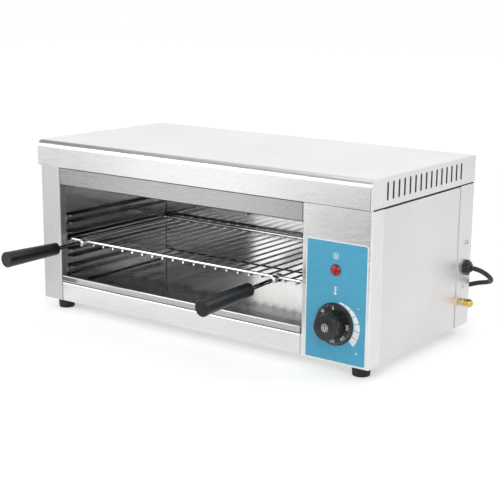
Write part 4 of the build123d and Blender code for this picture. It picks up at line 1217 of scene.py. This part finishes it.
@dataclass
class SoftBox:
    """A square area lamp that looks at a point."""

    name: str
    place: Point
    size: float
    power: float
    aim: Point = (0.1, 0.0, 0.12)

    def build(self) -> None:
        """Make the lamp."""
        lamp = bpy.data.lights.new(self.name, "AREA")
        lamp.shape = "SQUARE"
        lamp.size = self.size
        lamp.energy = self.power
        holder = stand(self.name, lamp)
        holder.location = self.place
        way = Vector(self.aim) - Vector(self.place)
        holder.rotation_euler = way.to_track_quat("-Z", "Y").to_euler()


@dataclass
class Card:
    """A card flat on the floor that shows only in gloss, as a photographer's reflector or flag."""

    name: str
    corners: tuple[FlatPoint, FlatPoint, FlatPoint, FlatPoint]
    brightness: float
    lift: float = 0.0005

    def build(self, casing: Casing) -> None:
        """Lay the card down.

        Args:
            casing: its left front corner is where the card's corners count from.
        """
        graph = NodeGraph(self.name)
        shine = graph.add("Emission")
        shine.inputs["Strength"].default_value = self.brightness
        graph.end_with(shine.outputs[0])
        corners = [(casing.left + x, casing.front + y) for x, y in self.corners]
        card = lay(self.name, corners, self.lift, graph)
        for kind in ("camera", "diffuse", "shadow", "transmission"):
            setattr(card, f"visible_{kind}", False)


@dataclass
class Studio:
    """Camera, lamps, white surroundings and floor."""

    casing: Casing
    azimuth: float = 36.388
    elevation: float = 12.973
    roll: float = 0.522
    distance: float = 1.621317
    focal_pixels: float = 1182.651
    frame_pixels: float = 500.0
    target_from_left: float = 0.405172
    target_rise: float = 0.133521
    floor_size: float = 12.0
    floor_colour: Colour = (0.8, 0.8, 0.8)
    floor_roughness: float = 0.9
    floor_gloss: float = 0.1
    floor_lift: float = 0.37
    floor_sheen: float = 0.2
    backdrop_lift: float = 0.56
    backdrop_reach: FlatPoint = (1.4, 3.0)
    surround_light: float = 0.6
    sky_left: tuple[FlatPoint, ...] = (
        (0.0, 1.0), (0.42, 1.0), (0.5, 0.15), (0.86, 0.15), (0.92, 0.5),
    )
    sky_right: tuple[FlatPoint, ...] = (
        (0.0, 1.0), (0.42, 1.0), (0.5, 0.6), (0.86, 0.6), (0.92, 0.5),
    )
    sky_change: FlatPoint = (-0.71, -0.655)
    sky_depth: FlatPoint = (-0.3, 0.3)
    front_sky: float = 0.72
    lamps: tuple[SoftBox, ...] = (
        SoftBox("key_lamp", (-1.25, -1.55, 0.92), 1.0, 11.0),
        SoftBox("fill_lamp", (1.5, -1.9, 1.5), 1.4, 18.0),
        SoftBox("top_lamp", (0.2, 0.6, 2.6), 3.2, 15.0),
    )
    cards: tuple[Card, ...] = (
        Card(
            "front_reflector",
            ((-0.03, -0.18), (-0.938, -1.1), (-0.33, -1.11), (0.4, -0.18)), 1.08,
        ),
        Card("front_flag", ((0.2, -0.52), (-0.33, -1.13), (0.16, -1.25), (0.46, -0.52)), 0.1),
        Card(
            "mouth_reflector",
            ((-0.23, -0.44), (-0.03, -0.44), (0.02, -0.2), (-0.13, -0.2)), 2.2, 0.001,
        ),
        Card(
            "left_flag",
            ((-0.19, -0.12), (-1.38, -1.15), (-1.08, -1.25), (-0.05, -0.12)), 0.25,
        ),
        Card(
            "rack_flag",
            ((0.2, -0.36), (0.46, -0.36), (0.42, -0.17), (0.16, -0.17)), 0.4, 0.0015,
        ),
        Card("side_floor", ((0.62, 0.0), (0.62, 1.6), (2.4, 1.6), (1.6, 0.0)), 0.86),
    )

    def build_camera(self) -> None:
        """Place the camera as the photograph was taken."""
        a, e, r = (math.radians(v) for v in (self.azimuth, self.elevation, self.roll))
        back = Vector((math.sin(a) * math.cos(e), -math.cos(a) * math.cos(e), math.sin(e)))
        right = (-back).cross(Vector((0.0, 0.0, 1.0))).normalized()
        up = right.cross(-back)
        side = right * math.cos(r) + up * math.sin(r)
        head = up * math.cos(r) - right * math.sin(r)
        target = Vector((
            self.casing.left + self.target_from_left,
            self.casing.front,
            self.casing.bottom + self.target_rise,
        ))
        lens = bpy.data.cameras.new("camera")
        lens.sensor_width = 36.0
        lens.lens = self.focal_pixels * lens.sensor_width / self.frame_pixels
        lens.clip_end = 100.0
        camera = stand("camera", lens)
        turned = Matrix((side, head, back)).transposed().to_4x4()
        camera.matrix_world = Matrix.Translation(target + back * self.distance) @ turned
        bpy.context.scene.camera = camera

    def build_surroundings(self) -> None:
        """White surroundings for the eye, banded ones for gloss, plain light for the rest."""
        world = bpy.data.worlds.new("surroundings")
        bpy.context.scene.world = world
        world.use_nodes = True
        graph = NodeTree(world.node_tree)
        seen = graph.tree.nodes["Background"]
        seen.inputs["Strength"].default_value = 1.0
        colour = graph.add("Mix", data_type="RGBA")
        colour.inputs[7].default_value = WHITE
        graph.join(graph.path("Is Camera Ray"), colour.inputs[0])
        graph.join(self.banded_sky(graph), colour.inputs[6])
        graph.join(colour.outputs[2], seen.inputs["Color"])
        light = graph.add("Background")
        light.inputs["Color"].default_value = WHITE
        light.inputs["Strength"].default_value = self.surround_light
        mix = graph.add("MixShader")
        sources = (graph.seen_rays(), light.outputs[0], seen.outputs[0])
        for source, target in zip(sources, mix.inputs):
            graph.join(source, target)
        graph.join(mix.outputs[0], graph.tree.nodes["World Output"].inputs["Surface"])

    def banded_sky(self, graph: NodeTree) -> Socket:
        """Brightness of the studio round the object by height, as polished metal shows it.

        Args:
            graph: the world's node tree.

        Returns:
            The socket that carries the colour.
        """
        way = graph.add("TexCoord").outputs["Generated"]
        height = graph.part_of(way, "Z")
        both = graph.add("Mix", data_type="RGBA")
        share = graph.spread(graph.part_of(way, "X"), self.sky_change, (0.0, 1.0))
        graph.join(share, both.inputs[0])
        for band, socket in ((self.sky_left, both.inputs[6]), (self.sky_right, both.inputs[7])):
            grey = [(level, (tone, tone, tone)) for level, tone in band]
            graph.join(graph.ramp(height, grey), socket)
        dimming = graph.spread(graph.part_of(way, "Y"), self.sky_depth, (self.front_sky, 1.0))
        scaled = graph.add("VectorMath", operation="SCALE")
        graph.join(both.outputs[2], scaled.inputs[0])
        graph.join(dimming, scaled.inputs["Scale"])
        return scaled.outputs["Vector"]

    def build_floor(self) -> None:
        """Pale floor that keeps a soft shadow."""
        graph = NodeGraph("floor_paint")
        graph.set(
            Base_Color=(*self.floor_colour, 1.0),
            Roughness=self.floor_roughness,
            Specular_IOR_Level=self.floor_gloss,
        )
        glow = graph.add("Emission")
        glow.inputs["Color"].default_value = WHITE
        away = graph.add("VectorMath", operation="LENGTH")
        graph.join(graph.place(), away.inputs[0])
        lifts = (self.floor_lift - self.floor_sheen, self.backdrop_lift - self.floor_sheen)
        rise = graph.spread(away.outputs["Value"], self.backdrop_reach, lifts)
        sheen = graph.math("MULTIPLY", graph.seen_rays(), self.floor_sheen)
        strength = graph.math("MULTIPLY_ADD", graph.path("Is Camera Ray"), rise, sheen)
        graph.join(strength, glow.inputs["Strength"])
        both = graph.add("AddShader")
        graph.join(graph.shader.outputs[0], both.inputs[0])
        graph.join(glow.outputs[0], both.inputs[1])
        graph.end_with(both.outputs[0])
        half = self.floor_size / 2
        lay("floor", [(-half, -half), (half, -half), (half, half), (-half, half)], 0.0, graph)

    def build(self) -> None:
        """Make everything round the object."""
        self.build_camera()
        self.build_surroundings()
        self.build_floor()
        for lamp in self.lamps:
            lamp.build()
        for card in self.cards:
            card.build(self.casing)
        bpy.context.scene.view_settings.view_transform = "Standard"


def main() -> None:
    """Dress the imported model, add its small pieces and set up the studio."""
    logging.basicConfig(level=logging.INFO, format="%(name)s: %(message)s")
    casing = Casing()
    Studio(casing).build()
    PowerCord().build()
    casing.dress_nodes()
    ControlLabel().build()
    KnobDial().build()
    SmallFasteners(casing).build()
    JointShades(casing).build()
    PlugDetails().build()


if __name__ == "__main__":
    main()
